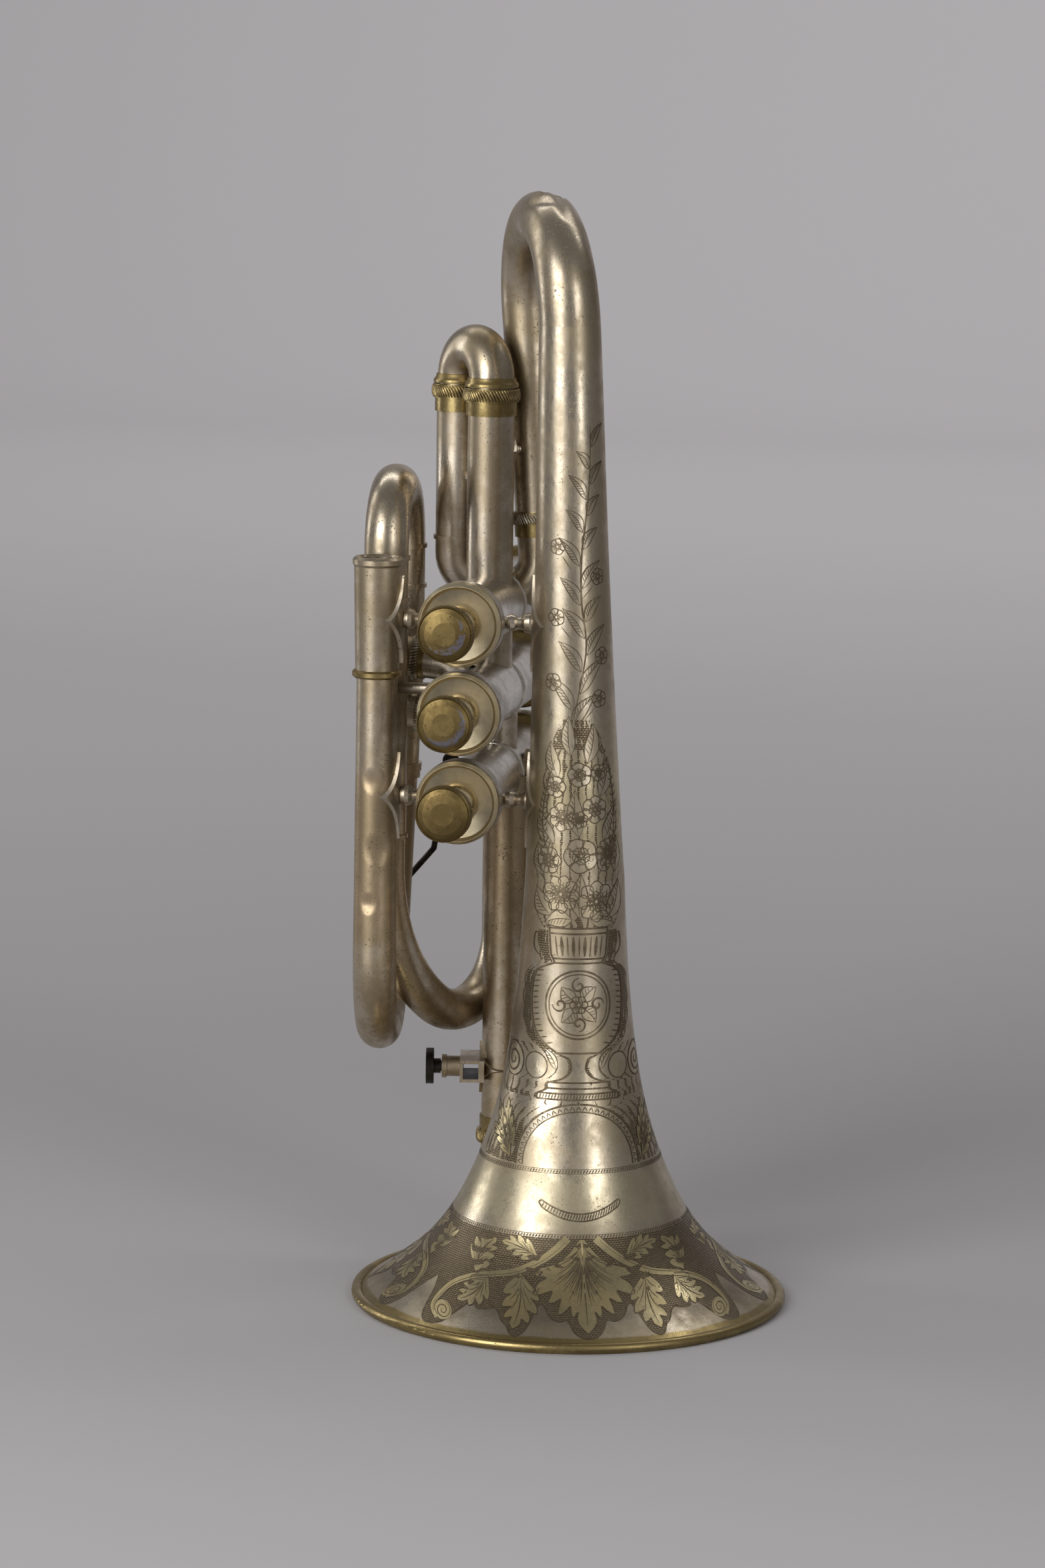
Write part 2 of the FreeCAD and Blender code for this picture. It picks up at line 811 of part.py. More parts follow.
def make_second_slide_knob():
    """Small ball on a stalk at the crown of the crook."""
    near, far = second_mouths()
    out = second_out()
    crown_out = second_crook_leg + (near - far).Length / 2 + second_sleeve_d / 2
    crown = (near + far) * 0.5 + out * crown_out
    stalk = rod(crown - out * (knob_length / 2), crown + out * (knob_length / 2), knob_stalk_d)
    ball = Part.makeSphere(knob_d / 2, crown + out * (knob_length - knob_d / 2))
    crook = sweep(u_edges(near, far, out, second_crook_leg), second_sleeve_d)
    return largest(stalk.fuse(ball).cut(crook))


def third_near(height):
    return Vector(third_near_x, third_near_y, height)


def third_far(height):
    return Vector(third_far_x, third_far_y, height)


def third_far_edges():
    valve = valve_point(2, third_far_y)
    reach = valve + X_AXIS * (valve_bore_d / 2)
    return elbow_edges(third_far(third_ferrule_end_z), third_far(valve.z), reach, third_bend_r)


def make_third_slide_sleeves():
    straight = ring(third_near(third_ferrule_end_z), Z_AXIS, valve_z[2] - third_ferrule_end_z, sleeve_d,
                    slide_bore_d())
    bent = sweep(third_far_edges(), sleeve_d).cut(sweep(third_far_edges(), slide_bore_d()))
    return Part.Compound([fitted_to_casings(straight, (2,)), fitted_to_casings(bent, (2,))])


def make_third_slide_ferrules():
    return Part.Compound([third_ferrule(place(third_ferrule_end_z), Z_AXIS * -1)
                          for place in (third_near, third_far)])


def make_third_slide():
    mouths = (third_near(third_ferrule_end_z), third_far(third_ferrule_end_z))
    return large_slide(mouths, Z_AXIS * -1, third_ferrule_end_z - third_crook_z, third_leg_depth)


def downpipe(height):
    return Vector(downpipe_x, downpipe_y, height)


def riser(height):
    """Point on the upright upper part of the riser."""
    return Vector(downpipe_x - main_left, downpipe_y + main_back, height)


def riser_up():
    """Direction of the riser's lower part, which leans to the left on its way down."""
    return (riser(riser_knee_z) - front_bow_rear()).normalize()


def riser_low(height):
    """Point on the leaning lower part of the riser."""
    rear = front_bow_rear()
    return rear + riser_up() * ((height - rear.z) / riser_up().z)


def make_downpipe():
    """Front sleeve of the tuning slide and the tube below it, with three rings."""
    sleeve_end = main_sleeve_top_z - main_leg_depth
    tube = ring(downpipe(loop_top_z), Z_AXIS, main_sleeve_top_z - loop_top_z, sleeve_d, air_bore_d)
    tube = tube.cut(rod(downpipe(sleeve_end), downpipe(main_sleeve_top_z), slide_bore_d()))
    for height in (main_sleeve_top_z - ring_width / 2, main_sleeve_top_z - main_ring_drop,
                   loop_top_z + ring_width / 2):
        tube = tube.fuse(sleeve_rings(downpipe(height), Z_AXIS, sleeve_d))
    return tube


def make_riser_sleeve():
    """Rear sleeve of the tuning slide, with two rings and the collar at its foot."""
    foot = riser_low(riser_collar_z)
    edges = elbow_edges(riser(main_sleeve_top_z), riser(riser_knee_z), foot, riser_bend_r)
    tube = sweep(edges, sleeve_d).cut(sweep(edges, slide_bore_d()))
    for height in (main_sleeve_top_z - ring_width / 2, main_sleeve_top_z - main_ring_drop):
        tube = tube.fuse(sleeve_rings(riser(height), Z_AXIS, sleeve_d))
    return tube.fuse(ring(foot, riser_up(), riser_collar_height, riser_collar_d, sleeve_d))


def make_main_slide():
    mouths = (downpipe(main_sleeve_top_z), riser(main_sleeve_top_z))
    return large_slide(mouths, Z_AXIS, main_crook_z - main_sleeve_top_z, main_leg_depth)


# Leadpipe side

def front_bow_rear():
    return Vector(leadpipe_x - front_bow_left, leadpipe_y + front_bow_back, front_bow_z)


def leadpipe_point(height):
    return Vector(leadpipe_x, leadpipe_y, height)


def receiver_outline():
    """Outside of the receiver from its foot to its lip."""
    lip = receiver_lip_d / 2
    length = receiver_top_z - receiver_bottom_z
    edge = receiver_lip_height / 4
    lip_start = length - receiver_lip_height
    return [(0, receiver_low_d / 2), (lip_start, receiver_d / 2), (lip_start + edge, lip),
            (length - edge, lip), (length, lip - edge)]


def receiver_blank():
    """Outside of the receiver, filled: the brace is cut to this shape."""
    length = receiver_top_z - receiver_bottom_z
    return turned([(0, 0)] + receiver_outline() + [(length, 0)], leadpipe_point(receiver_bottom_z), Z_AXIS)


def make_receiver():
    """Conical socket for the mouthpiece: lip, straight bore and a seat for the leadpipe."""
    bore = receiver_bore_d / 2
    length = receiver_top_z - receiver_bottom_z
    edge = receiver_lip_height / 4
    seat = leadpipe_d / 2
    throat = seat - tube_wall
    inside = [(length, receiver_mouth_d / 2), (length - edge, bore),
              (length - edge - receiver_bore_length, bore), (receiver_seat_depth, throat),
              (receiver_seat_depth, seat), (0, seat)]
    return turned(receiver_outline() + inside, leadpipe_point(receiver_bottom_z), Z_AXIS)


def make_receiver_ring():
    """Gold ring round the foot of the receiver."""
    outer = receiver_ring_d / 2
    low = receiver_low_d / 2
    edge = receiver_ring_height / 4
    cone = (receiver_d - receiver_low_d) / 2 / (receiver_top_z - receiver_bottom_z - receiver_lip_height)
    outline = [(0, low), (0, outer - edge), (edge, outer), (receiver_ring_height - edge, outer),
               (receiver_ring_height, outer - edge),
               (receiver_ring_height, low + cone * receiver_ring_height)]
    return turned(outline, leadpipe_point(receiver_bottom_z), Z_AXIS)


def leadpipe_blank(offset):
    """Filled leadpipe, front bow and riser up to its collar, smaller all round by an offset."""
    pipe_d = leadpipe_d - offset * 2
    bow_d = front_bow_d - offset * 2
    foot = leadpipe_point(receiver_bottom_z)
    low = leadpipe_point(front_bow_z)
    rear = front_bow_rear()
    crown = (low + rear) * 0.5 - Z_AXIS * ((rear - low).Length / 2)
    blank = rod(leadpipe_point(receiver_bottom_z + receiver_seat_depth), foot, pipe_d)
    return blank.fuse([sweep([line(foot, low)], pipe_d, bow_d), sweep([arc(low, crown, rear)], bow_d),
                       Part.makeSphere(bow_d / 2, rear), rod(rear, riser_low(riser_collar_z), bow_d)])


def make_leadpipe():
    """Leadpipe, front bow and the riser up to its collar, widest in the bow."""
    band_foot = riser_low(riser_collar_z) - riser_up() * riser_band_height
    band = ring(band_foot, riser_up(), riser_band_height, riser_collar_d - ring_proud,
                front_bow_d - tube_wall)
    whole = leadpipe_blank(0).fuse([band, key_nipple()])
    return whole.cut(leadpipe_blank(tube_wall)).cut(key_drain())


def loop_edges():
    """Spine of the valve loop: a wide bend down from the downpipe, a tighter one up into valve 3."""
    start = downpipe(loop_top_z - loop_straight)
    level = valve_point(2, loop_valve_y) - downpipe(valve_z[2])
    across = level.Length
    over = Vector(level).normalize()
    turn = math.radians(loop_wide_deg)
    tight_r = (across - loop_wide_r * (1 - math.cos(turn))) / (1 + math.cos(turn))
    wide_centre = start + over * loop_wide_r
    tight_centre = start + over * (across - tight_r) - Z_AXIS * ((loop_wide_r - tight_r) * math.sin(turn))

    def on_bend(centre, radius, angle):
        return centre - over * (radius * math.cos(angle)) - Z_AXIS * (radius * math.sin(angle))

    joint = on_bend(wide_centre, loop_wide_r, turn)
    end = on_bend(tight_centre, tight_r, math.pi)
    return [line(downpipe(loop_top_z), start),
            arc(start, on_bend(wide_centre, loop_wide_r, turn / 2), joint),
            arc(joint, on_bend(tight_centre, tight_r, (turn + math.pi) / 2), end),
            line(end, valve_point(2, loop_valve_y))]


def make_valve_loop():
    tube = sweep(loop_edges(), loop_d).cut(sweep(loop_edges(), air_bore_d))
    return fitted_to_casings(tube, (2,))


# Braces

def diamond_prism(centre, towards, height, width, depth):
    """Diamond with drawn-in sides, as deep as asked on both sides of its centre."""
    side = Z_AXIS.cross(towards).normalize()
    tips = [Z_AXIS * (height / 2), side * (width / 2), Z_AXIS * (-height / 2), side * (-width / 2)]
    edges = []
    for number in range(4):
        start = tips[number]
        end = tips[(number + 1) % 4]
        middle = (start + end) * flange_waist_share
        edges.append(arc(centre + start, centre + middle, centre + end))
    face = Part.Face(Part.Wire(edges))
    return face.extrude(Vector(towards).normalize() * depth)


def tube_flange(axis_point, axis, tube_d, towards, height, width):
    """Diamond plate wrapped round an upright tube; the seam of its shell is turned to the far side."""
    run = Vector(axis).normalize() * height
    shell = ring(axis_point - run, axis, height * 2, tube_d + brace_thickness * 2, tube_d)
    shell.rotate(axis_point, axis, math.degrees(math.atan2(-towards.y, -towards.x)))
    return shell.common(diamond_prism(axis_point, towards, height, width, tube_d))


def turned_post(start, end, diameter, root, flip=False):
    """Turned bar with a large and a small ball between two surfaces; its roots run on into both."""
    length = (end - start).Length
    shares = brace_profile_shares
    if flip:
        shares = tuple((1 - along, size) for along, size in reversed(shares))
    outline = [(-root, 0), (-root, shares[0][1] * diameter / 2)]
    outline += [(along * length, size * diameter / 2) for along, size in shares]
    outline += [(length + root, shares[-1][1] * diameter / 2), (length + root, 0)]
    return turned(outline, start, end - start)


def make_leadpipe_brace(number):
    """Flange on the leadpipe or the receiver, and a turned post to a casing."""
    height = valve_z[number]
    pipe = leadpipe_point(height)
    widest_d = receiver_d if height > receiver_bottom_z else front_bow_d
    flange = tube_flange(pipe, Z_AXIS, widest_d, X_AXIS, pipe_flange_height, pipe_flange_width)
    filler = rod(pipe - Z_AXIS * pipe_flange_height, pipe + Z_AXIS * pipe_flange_height, widest_d)
    filler = filler.common(diamond_prism(pipe, X_AXIS, pipe_flange_height, pipe_flange_width, widest_d))
    face = Vector(pipe.x + widest_d / 2, brace_y, height)
    post = turned_post(face, Vector(valve_x - casing_d / 2, brace_y, height), brace_d, widest_d / 2)
    brace = flange.fuse([filler, post]).cut(casing_blank(number))
    brace = brace.cut(receiver_blank() if height > receiver_bottom_z else leadpipe_blank(0))
    return largest(brace)


def make_bell_brace(number):
    """Turned post from a casing to a flange on the bell stem."""
    height = valve_z[number]
    shell = stem_solid(brace_thickness).cut(stem_solid(0))
    centre = stem_axis_point(height / bell_length)
    flange = shell.common(diamond_prism(centre, X_AXIS * -1, bell_flange_height, bell_flange_width,
                                        bell_rim_d / 4))
    start = Vector(valve_x + casing_d / 2, brace_y, height)
    end = Vector(centre.x - casing_d / 2, brace_y, height)
    post = turned_post(start, end, brace_d, casing_d / 2, True)
    brace = flange.fuse(post).cut(casing_blank(number)).cut(stem_solid(0)).cut(flare_blank())
    return largest(brace)


def make_slide_stays():
    """Short turned stays: leg a to leg b of the first slide, and leg a to the bow's rear leg."""
    pieces = []
    for start, end, axis, end_d in (
            (first_a(slide_brace_z), first_b(slide_brace_z), Z_AXIS, first_sleeve_d),
            (first_a(bow_stay_z), bow_rear(bow_stay_z), lean_vector(bow_lean_deg), bow_end_d)):
        across = end - start
        level = Vector(across.x, across.y, 0).normalize()
        near = tube_flange(start, Z_AXIS, first_sleeve_d, level, slide_flange_height, slide_flange_width)
        far_solid = rod(end - axis * slide_flange_height, end + axis * slide_flange_height, end_d)
        post = turned_post(start + level * (first_sleeve_d / 2), end - level * (end_d / 2), slide_brace_d,
                           end_d / 2)
        stay = near.fuse(post).cut(far_solid).cut(bow_blank(0))
        stay = stay.cut(rod(first_a(valve_z[0]), first_a(first_ferrule_top_z), first_sleeve_d))
        pieces.append(largest(stay))
    return Part.Compound(pieces)


def make_casing_post():
    """Plain stay from casing 2 to the downpipe."""
    height = valve_z[1] + casing_post_above
    post = rod(Vector(downpipe_x, casing_post_y, height), Vector(valve_x, casing_post_y, height),
               casing_post_d)
    post = post.cut(rod(downpipe(loop_top_z), downpipe(main_sleeve_top_z), sleeve_d))
    return fitted_to_casings(post, (1,))


# Lyre holder

def lyre_centre():
    """Centre of the square socket beside the near leg of the third slide, before it is turned."""
    return third_near(lyre_z) - X_AXIS * (sleeve_d / 2 + lyre_box / 2)


def lyre_turned(shape):
    """The holder and its screw turned a little about the leg, towards the player's left."""
    shape.rotate(third_near(lyre_z), Z_AXIS, lyre_turn_deg)
    return shape


def boss_end():
    return lyre_centre() - X_AXIS * (lyre_box / 2 + boss_length)


def make_lyre_holder():
    """Flange on the leg, square socket open to front and back, and a round boss for its screw."""
    centre = lyre_centre()
    leg = third_near(lyre_z)
    flange = tube_flange(leg, Z_AXIS, sleeve_d, X_AXIS * -1, lyre_flange_height, lyre_flange_width)
    half = Vector(lyre_box, lyre_box_length, lyre_box) * 0.5
    box = Part.makeBox(lyre_box + brace_thickness, lyre_box_length, lyre_box, centre - half)
    box = box.cut(rod(leg - Z_AXIS * lyre_box, leg + Z_AXIS * lyre_box, sleeve_d))
    boss = rod(centre, boss_end(), boss_d)
    lip = rod(boss_end(), boss_end() + X_AXIS * boss_ring_length, boss_ring_d)
    hole = Vector(lyre_hole, lyre_box_length + cut_overrun * 2, lyre_hole)
    socket = Part.makeBox(hole.x, hole.y, hole.z, centre - hole * 0.5)
    thread = rod(centre, boss_end() - X_AXIS * cut_overrun, screw_d + screw_clearance * 2)
    holder = flange.fuse([box, boss, lip]).cut(socket).cut(thread)
    return lyre_turned(largest(holder))


def make_lyre_screw():
    """Thumb screw with a knurled disc, backed off flush with the socket."""
    neck_start = boss_end() - X_AXIS * screw_head_gap
    disc_start = neck_start - X_AXIS * screw_neck_length
    disc = rod(disc_start, disc_start - X_AXIS * screw_disc_length, screw_disc_d)
    neck = rod(neck_start, disc_start, screw_neck_d)
    tip = lyre_centre() - X_AXIS * (lyre_hole / 2)
    return lyre_turned(disc.fuse([neck, rod(tip, neck_start, screw_d)]))


# Water key

def key_pivot():
    """Centre of the hinge, behind the riser."""
    rear = front_bow_rear()
    return Vector(rear.x, rear.y + key_pivot_back, key_pivot_z)


def nipple_frame():
    """Centre of the nipple on the front bow's spine and the way that it points."""
    rear = front_bow_rear()
    low = leadpipe_point(front_bow_z)
    middle = (rear + low) * 0.5
    radius = (rear - low).Length / 2
    outwards = (rear - low).normalize() * math.cos(math.radians(key_nipple_deg))
    direction = outwards - Z_AXIS * math.sin(math.radians(key_nipple_deg))
    return middle + direction * radius, direction


def nipple_rim():
    centre, direction = nipple_frame()
    return centre + direction * (front_bow_d / 2 + key_nipple_proud)


def key_nipple():
    centre, _ = nipple_frame()
    return rod(centre, nipple_rim(), key_nipple_d)


def key_drain():
    centre, direction = nipple_frame()
    return rod(centre, nipple_rim() + direction * cut_overrun, key_nipple_d - key_nipple_wall * 2)


def make_key_saddle():
    """Two ears on a foot that is soldered to the rear of the bow."""
    pivot = key_pivot()
    rear = front_bow_rear()
    span = key_barrel_length + key_ear_gap * 2
    foot_y = pivot.y - rear.y
    ears = []
    for side in (-1, 1):
        inner_x = pivot.x + side * span / 2
        low_x = min(inner_x, inner_x + side * key_ear_thickness)
        plate = Part.makeBox(key_ear_thickness, foot_y, key_ear_height,
                             Vector(low_x, rear.y, pivot.z - key_ear_height / 2))
        ears.append(plate.fuse(rod(Vector(low_x, pivot.y, pivot.z),
                                   Vector(low_x + key_ear_thickness, pivot.y, pivot.z), key_ear_height)))
    foot = Part.makeBox(span + key_ear_thickness * 2, foot_y - key_barrel_d / 2 - key_ear_thickness / 2,
                        key_ear_height, Vector(pivot.x - span / 2 - key_ear_thickness, rear.y,
                                               pivot.z - key_ear_height / 2))
    saddle = ears[0].fuse([ears[1], foot]).cut(leadpipe_blank(0))
    reach = X_AXIS * (span / 2 + key_ear_thickness + cut_overrun)
    saddle = saddle.cut(rod(pivot - reach, pivot + reach, key_pin_d))
    return largest(saddle)


def make_key_pin():
    """Hinge screw through both ears, with its head on the right."""
    pivot = key_pivot()
    half = key_barrel_length / 2 + key_ear_gap + key_ear_thickness
    shank = rod(pivot - X_AXIS * half, pivot + X_AXIS * half, key_pin_d)
    head = rod(pivot + X_AXIS * half, pivot + X_AXIS * (half + key_pin_head_length), key_pin_head_d)
    return shank.fuse(head)


def cup_centre():
    """Top of the cork, where the cup carries it."""
    _, direction = nipple_frame()
    return nipple_rim() + direction * key_cork_thickness


def key_touch_point():
    pivot = key_pivot()
    return pivot + Vector(key_lever_right[-1], key_lever_back[-1], key_lever_reach[-1])


def make_key_lever():
    """Bent steel wire with a barrel, a cork cup on its short arm and a touch on its long arm."""
    pivot = key_pivot()
    _, direction = nipple_frame()
    half = X_AXIS * (key_barrel_length / 2)
    barrel = rod(pivot - half, pivot + half, key_barrel_d)
    cup_start = cup_centre()
    cup_end = cup_start + direction * key_cup_thickness
    cup = rod(cup_start, cup_end, key_cup_d)
    below = Vector(cup_end.x, pivot.y, cup_end.z)
    solids = [cup, rod(cup_start + direction * (key_cup_thickness / 2), below, key_wire_d),
              Part.makeSphere(key_wire_d / 2, below), rod(below, pivot, key_wire_d)]
    places = [pivot] + [pivot + Vector(right, back, reach) for right, back, reach
                        in zip(key_lever_right, key_lever_back, key_lever_reach)]
    for start, end in zip(places[:-1], places[1:]):
        solids.append(rod(start, end, key_wire_d))
        solids.append(Part.makeSphere(key_wire_d / 2, end))
    touch = key_touch_point()
    solids.append(rod(touch - Y_AXIS * (key_touch_thickness / 2), touch + Y_AXIS * (key_touch_thickness / 2),
                      key_touch_d))
    lever = barrel.fuse(solids)
    reach = X_AXIS * key_barrel_length
    return lever.cut(rod(pivot - reach, pivot + reach, key_pin_d + key_pin_clearance * 2))


def make_key_cork():
    return rod(nipple_rim(), cup_centre(), key_cork_d)


def make_key_spring():
    """Flat leaf between the riser and the long arm."""
    pivot = key_pivot()
    rear = front_bow_rear()
    foot = Vector(pivot.x - key_spring_width / 2, rear.y + front_bow_d / 2,
                  pivot.z + key_lever_reach[0] + key_ear_height)
    height = key_lever_reach[1] - key_lever_reach[0] - key_ear_height
    leaf = Part.makeBox(key_spring_width, key_spring_thickness, height, foot)
    return largest(leaf.cut(leadpipe_blank(0)))


def build():
    """Every node by name."""
    nodes = {
        "bell": make_bell(),
        "bell_stem": make_bell_stem(),
        "bell_bow": make_bell_bow(),
        "bow_ferrule": make_bow_ferrule(),
        "return_tube": make_return_tube(),
        "knuckles": make_knuckles(),
        "mouthpiece_receiver": make_receiver(),
        "receiver_ring": make_receiver_ring(),
        "leadpipe": make_leadpipe(),
        "riser_sleeve": make_riser_sleeve(),
        "downpipe": make_downpipe(),
        "valve_loop": make_valve_loop(),
        "main_slide": make_main_slide(),
        "first_slide_sleeves": make_first_slide_sleeves(),
        "first_slide_ferrules": make_first_slide_ferrules(),
        "first_slide": make_first_slide(),
        "second_slide_sleeves": make_second_slide_sleeves(),
        "second_slide_ferrules": make_second_slide_ferrules(),
        "second_slide": make_second_slide(),
        "second_slide_knob": make_second_slide_knob(),
        "third_slide_sleeves": make_third_slide_sleeves(),
        "third_slide_ferrules": make_third_slide_ferrules(),
        "third_slide": make_third_slide(),
        "leadpipe_brace_upper": make_leadpipe_brace(0),
        "leadpipe_brace_lower": make_leadpipe_brace(2),
        "bell_brace_upper": make_bell_brace(0),
        "bell_brace_lower": make_bell_brace(2),
        "slide_stays": make_slide_stays(),
        "casing_post": make_casing_post(),
        "lyre_holder": make_lyre_holder(),
        "lyre_screw": make_lyre_screw(),
        "water_key_saddle": make_key_saddle(),
        "water_key_pin": make_key_pin(),
        "water_key_lever": make_key_lever(),
        "water_key_cork": make_key_cork(),
        "water_key_spring": make_key_spring(),
    }
    makers = {"casing": make_casing, "top_cap": make_top_cap, "bottom_cap": make_bottom_cap,
              "piston": make_piston, "stem": make_stem, "button": make_button, "felt": make_felt,
              "spring": make_spring}
    for number in range(len(valve_z)):
        for name, make in makers.items():
            nodes["valve_%d_%s" % (number + 1, name)] = make(number)
    return nodes


os.makedirs("parts", exist_ok=True)
for name, shape in build().items():
    shape.exportStep("parts/%s.step" % name)
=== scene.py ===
"""Looks of an old cornet on its bell: tarnished silver plate, gold-washed rings, engraved bell."""
import json
import math
import random

import bmesh
import bpy
import numpy as np
from mathutils import Matrix, Vector
from mathutils.bvhtree import BVHTree

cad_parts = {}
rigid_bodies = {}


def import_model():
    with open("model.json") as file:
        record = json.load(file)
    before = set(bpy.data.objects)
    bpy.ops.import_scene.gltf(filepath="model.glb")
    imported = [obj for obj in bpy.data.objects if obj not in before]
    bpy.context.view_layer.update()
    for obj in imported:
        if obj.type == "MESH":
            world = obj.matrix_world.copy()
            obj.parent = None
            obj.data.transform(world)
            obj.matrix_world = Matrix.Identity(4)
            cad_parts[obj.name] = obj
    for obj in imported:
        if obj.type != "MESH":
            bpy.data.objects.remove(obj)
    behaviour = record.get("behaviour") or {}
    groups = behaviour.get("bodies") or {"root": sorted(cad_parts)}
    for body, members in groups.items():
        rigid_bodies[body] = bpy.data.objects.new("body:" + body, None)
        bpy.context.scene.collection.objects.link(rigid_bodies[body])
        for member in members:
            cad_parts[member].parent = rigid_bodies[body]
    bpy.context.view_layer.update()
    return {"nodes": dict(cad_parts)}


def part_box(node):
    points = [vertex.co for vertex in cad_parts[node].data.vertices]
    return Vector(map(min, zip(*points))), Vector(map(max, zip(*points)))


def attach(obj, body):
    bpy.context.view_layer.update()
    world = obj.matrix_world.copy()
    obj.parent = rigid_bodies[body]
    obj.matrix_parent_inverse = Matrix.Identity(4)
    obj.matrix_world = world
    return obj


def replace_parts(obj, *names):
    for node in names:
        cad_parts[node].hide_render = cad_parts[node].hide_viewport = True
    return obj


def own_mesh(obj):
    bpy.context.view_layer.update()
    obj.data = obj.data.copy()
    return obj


for leftover in list(bpy.data.objects):
    bpy.data.objects.remove(leftover)
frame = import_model()
MM = 0.001

# Measurements of the part that the added pieces sit on, in millimetres, but SOCKET_FACE in metres
VALVE_X = -31.1
VALVE_Z = (187.1, 162.8, 138.5)
STEM_FOOT_Z = 118.0
STEM_LEAN = math.radians(1.4)
BELL_PROFILE = ((1.4, 58.5), (7.24, 49.98), (17.5, 38.1), (36.5, 26.76), (55.4, 20.4), (74.1, 17.04),
                (92.8, 15.09), (118.0, 13.59), (143.1, 12.33), (166.6, 11.37), (204.6, 9.99),
                (239.0, 9.07), (268.0, 8.25))
ENGRAVING_TURN = math.radians(-74.5)
SOCKET_FACE = (-0.034509, 0.033025, 0.0542)
SOCKET_TURN = math.radians(10.0)
BOW_LEG_LEAN = math.radians(3.9)
SECOND_SLIDE_TILT = math.radians(6.0)
SECOND_SLEEVE_REACH = 19.5
CREASED_HEIGHT = 16.0

# Sizes of the detail that is added, in millimetres, and its angles
CUT_WEIGHT = 1.6
RIDGE_PITCH = 0.82
SPRING_WIRE, SPRING_TURNS = 0.45, 9.0
SHARP_ANGLE = math.radians(38.0)
BAND_TOP, BAND_FOOT, GROUND_TOP = 53.2, 35.4, 34.8
URN_MIDDLE, TABLET_FOOT = 98.4, 54.2


# Shader helpers

def join(tree, value, socket):
    """Puts a value on a socket, or links it where the value is a socket itself."""
    if isinstance(value, bpy.types.NodeSocket):
        tree.links.new(value, socket)
    else:
        socket.default_value = value


def add(tree, kind, *values, settings=None, **named):
    """Adds a node; values go to its sockets in order, named ones to the sockets of that name."""
    node = tree.nodes.new(kind)
    for key, value in (settings or {}).items():
        setattr(node, key, value)
    for number, value in enumerate(values):
        if value is not None:
            join(tree, value, node.inputs[number])
    for key, value in named.items():
        join(tree, value, node.inputs[key.replace("_", " ")])
    return node


def calc(tree, operation, *values):
    node = add(tree, "ShaderNodeMath", *values, settings={"operation": operation})
    return node.outputs[0]


def ramp(tree, value, low, high, to_low=0.0, to_high=1.0):
    """Smooth step of a value from low to high."""
    node = add(tree, "ShaderNodeMapRange", value, low, high, to_low, to_high,
               settings={"interpolation_type": "SMOOTHSTEP"})
    return node.outputs[0]


def blend_colors(tree, share, first, second):
    node = tree.nodes.new("ShaderNodeMix")
    node.data_type = "RGBA"
    join(tree, share, node.inputs[0])
    join(tree, first, node.inputs[6])
    join(tree, second, node.inputs[7])
    return node.outputs[2]


def noise(tree, vector, scale, detail, roughness):
    node = add(tree, "ShaderNodeTexNoise", Vector=vector, Scale=scale, Detail=detail, Roughness=roughness)
    return node.outputs[0]


def new_group(name, inputs, outputs):
    """Shader group with named sockets; inputs are (name, kind, default)."""
    group = bpy.data.node_groups.new(name, "ShaderNodeTree")
    for label, kind, default in inputs:
        socket = group.interface.new_socket(label, in_out="INPUT", socket_type="NodeSocket" + kind)
        socket.default_value = default
    for label, kind in outputs:
        group.interface.new_socket(label, in_out="OUTPUT", socket_type="NodeSocket" + kind)
    return group, group.nodes.new("NodeGroupInput").outputs, group.nodes.new("NodeGroupOutput").inputs


def use_group(tree, group, **named):
    node = tree.nodes.new("ShaderNodeGroup")
    node.node_tree = group
    for key, value in named.items():
        join(tree, value, node.inputs[key.replace("_", " ")])
    return node.outputs


def object_place(tree):
    return tree.nodes.new("ShaderNodeTexCoord").outputs["Object"]


def rgb(red, green, blue):
    return (red, green, blue, 1.0)


# Shared effects

def make_tarnish():
    """Soft clouds, small dark pits in clusters, and a fine handled grain."""
    group, given, result = new_group(
        "Tarnish",
        (("Cloud Scale", "Float", 45.0), ("Speck Scale", "Float", 1900.0), ("Speck Share", "Float", 0.30)),
        (("Cloud", "Float"), ("Stain", "Float"), ("Specks", "Float"), ("Grain", "Float")))
    place = object_place(group)
    cloud = noise(group, place, given["Cloud Scale"], 6.0, 0.62)
    fine_scale = calc(group, "MULTIPLY", given["Cloud Scale"], 7.0)
    mottle = noise(group, place, fine_scale, 4.0, 0.6)
    mixed = calc(group, "MULTIPLY_ADD", mottle, 0.30, cloud)
    join(group, ramp(group, mixed, 0.50, 0.76), result["Cloud"])
    broad_scale = calc(group, "MULTIPLY", given["Cloud Scale"], 0.6)
    broad = noise(group, place, broad_scale, 9.0, 0.74)
    join(group, ramp(group, broad, 0.53, 0.70, 0.0, 0.62), result["Stain"])
    dots = noise(group, place, given["Speck Scale"], 1.5, 0.5)
    patch_scale = calc(group, "MULTIPLY", given["Speck Scale"], 0.09)
    patches = noise(group, place, patch_scale, 3.0, 0.6)
    level = calc(group, "MULTIPLY_ADD", patches, given["Speck Share"], dots)
    join(group, ramp(group, level, 0.835, 0.90), result["Specks"])
    stretched = add(group, "ShaderNodeVectorMath", place, (2600.0, 2600.0, 500.0),
                    settings={"operation": "MULTIPLY"}).outputs[0]
    join(group, noise(group, stretched, 1.0, 4.0, 0.65), result["Grain"])
    return group


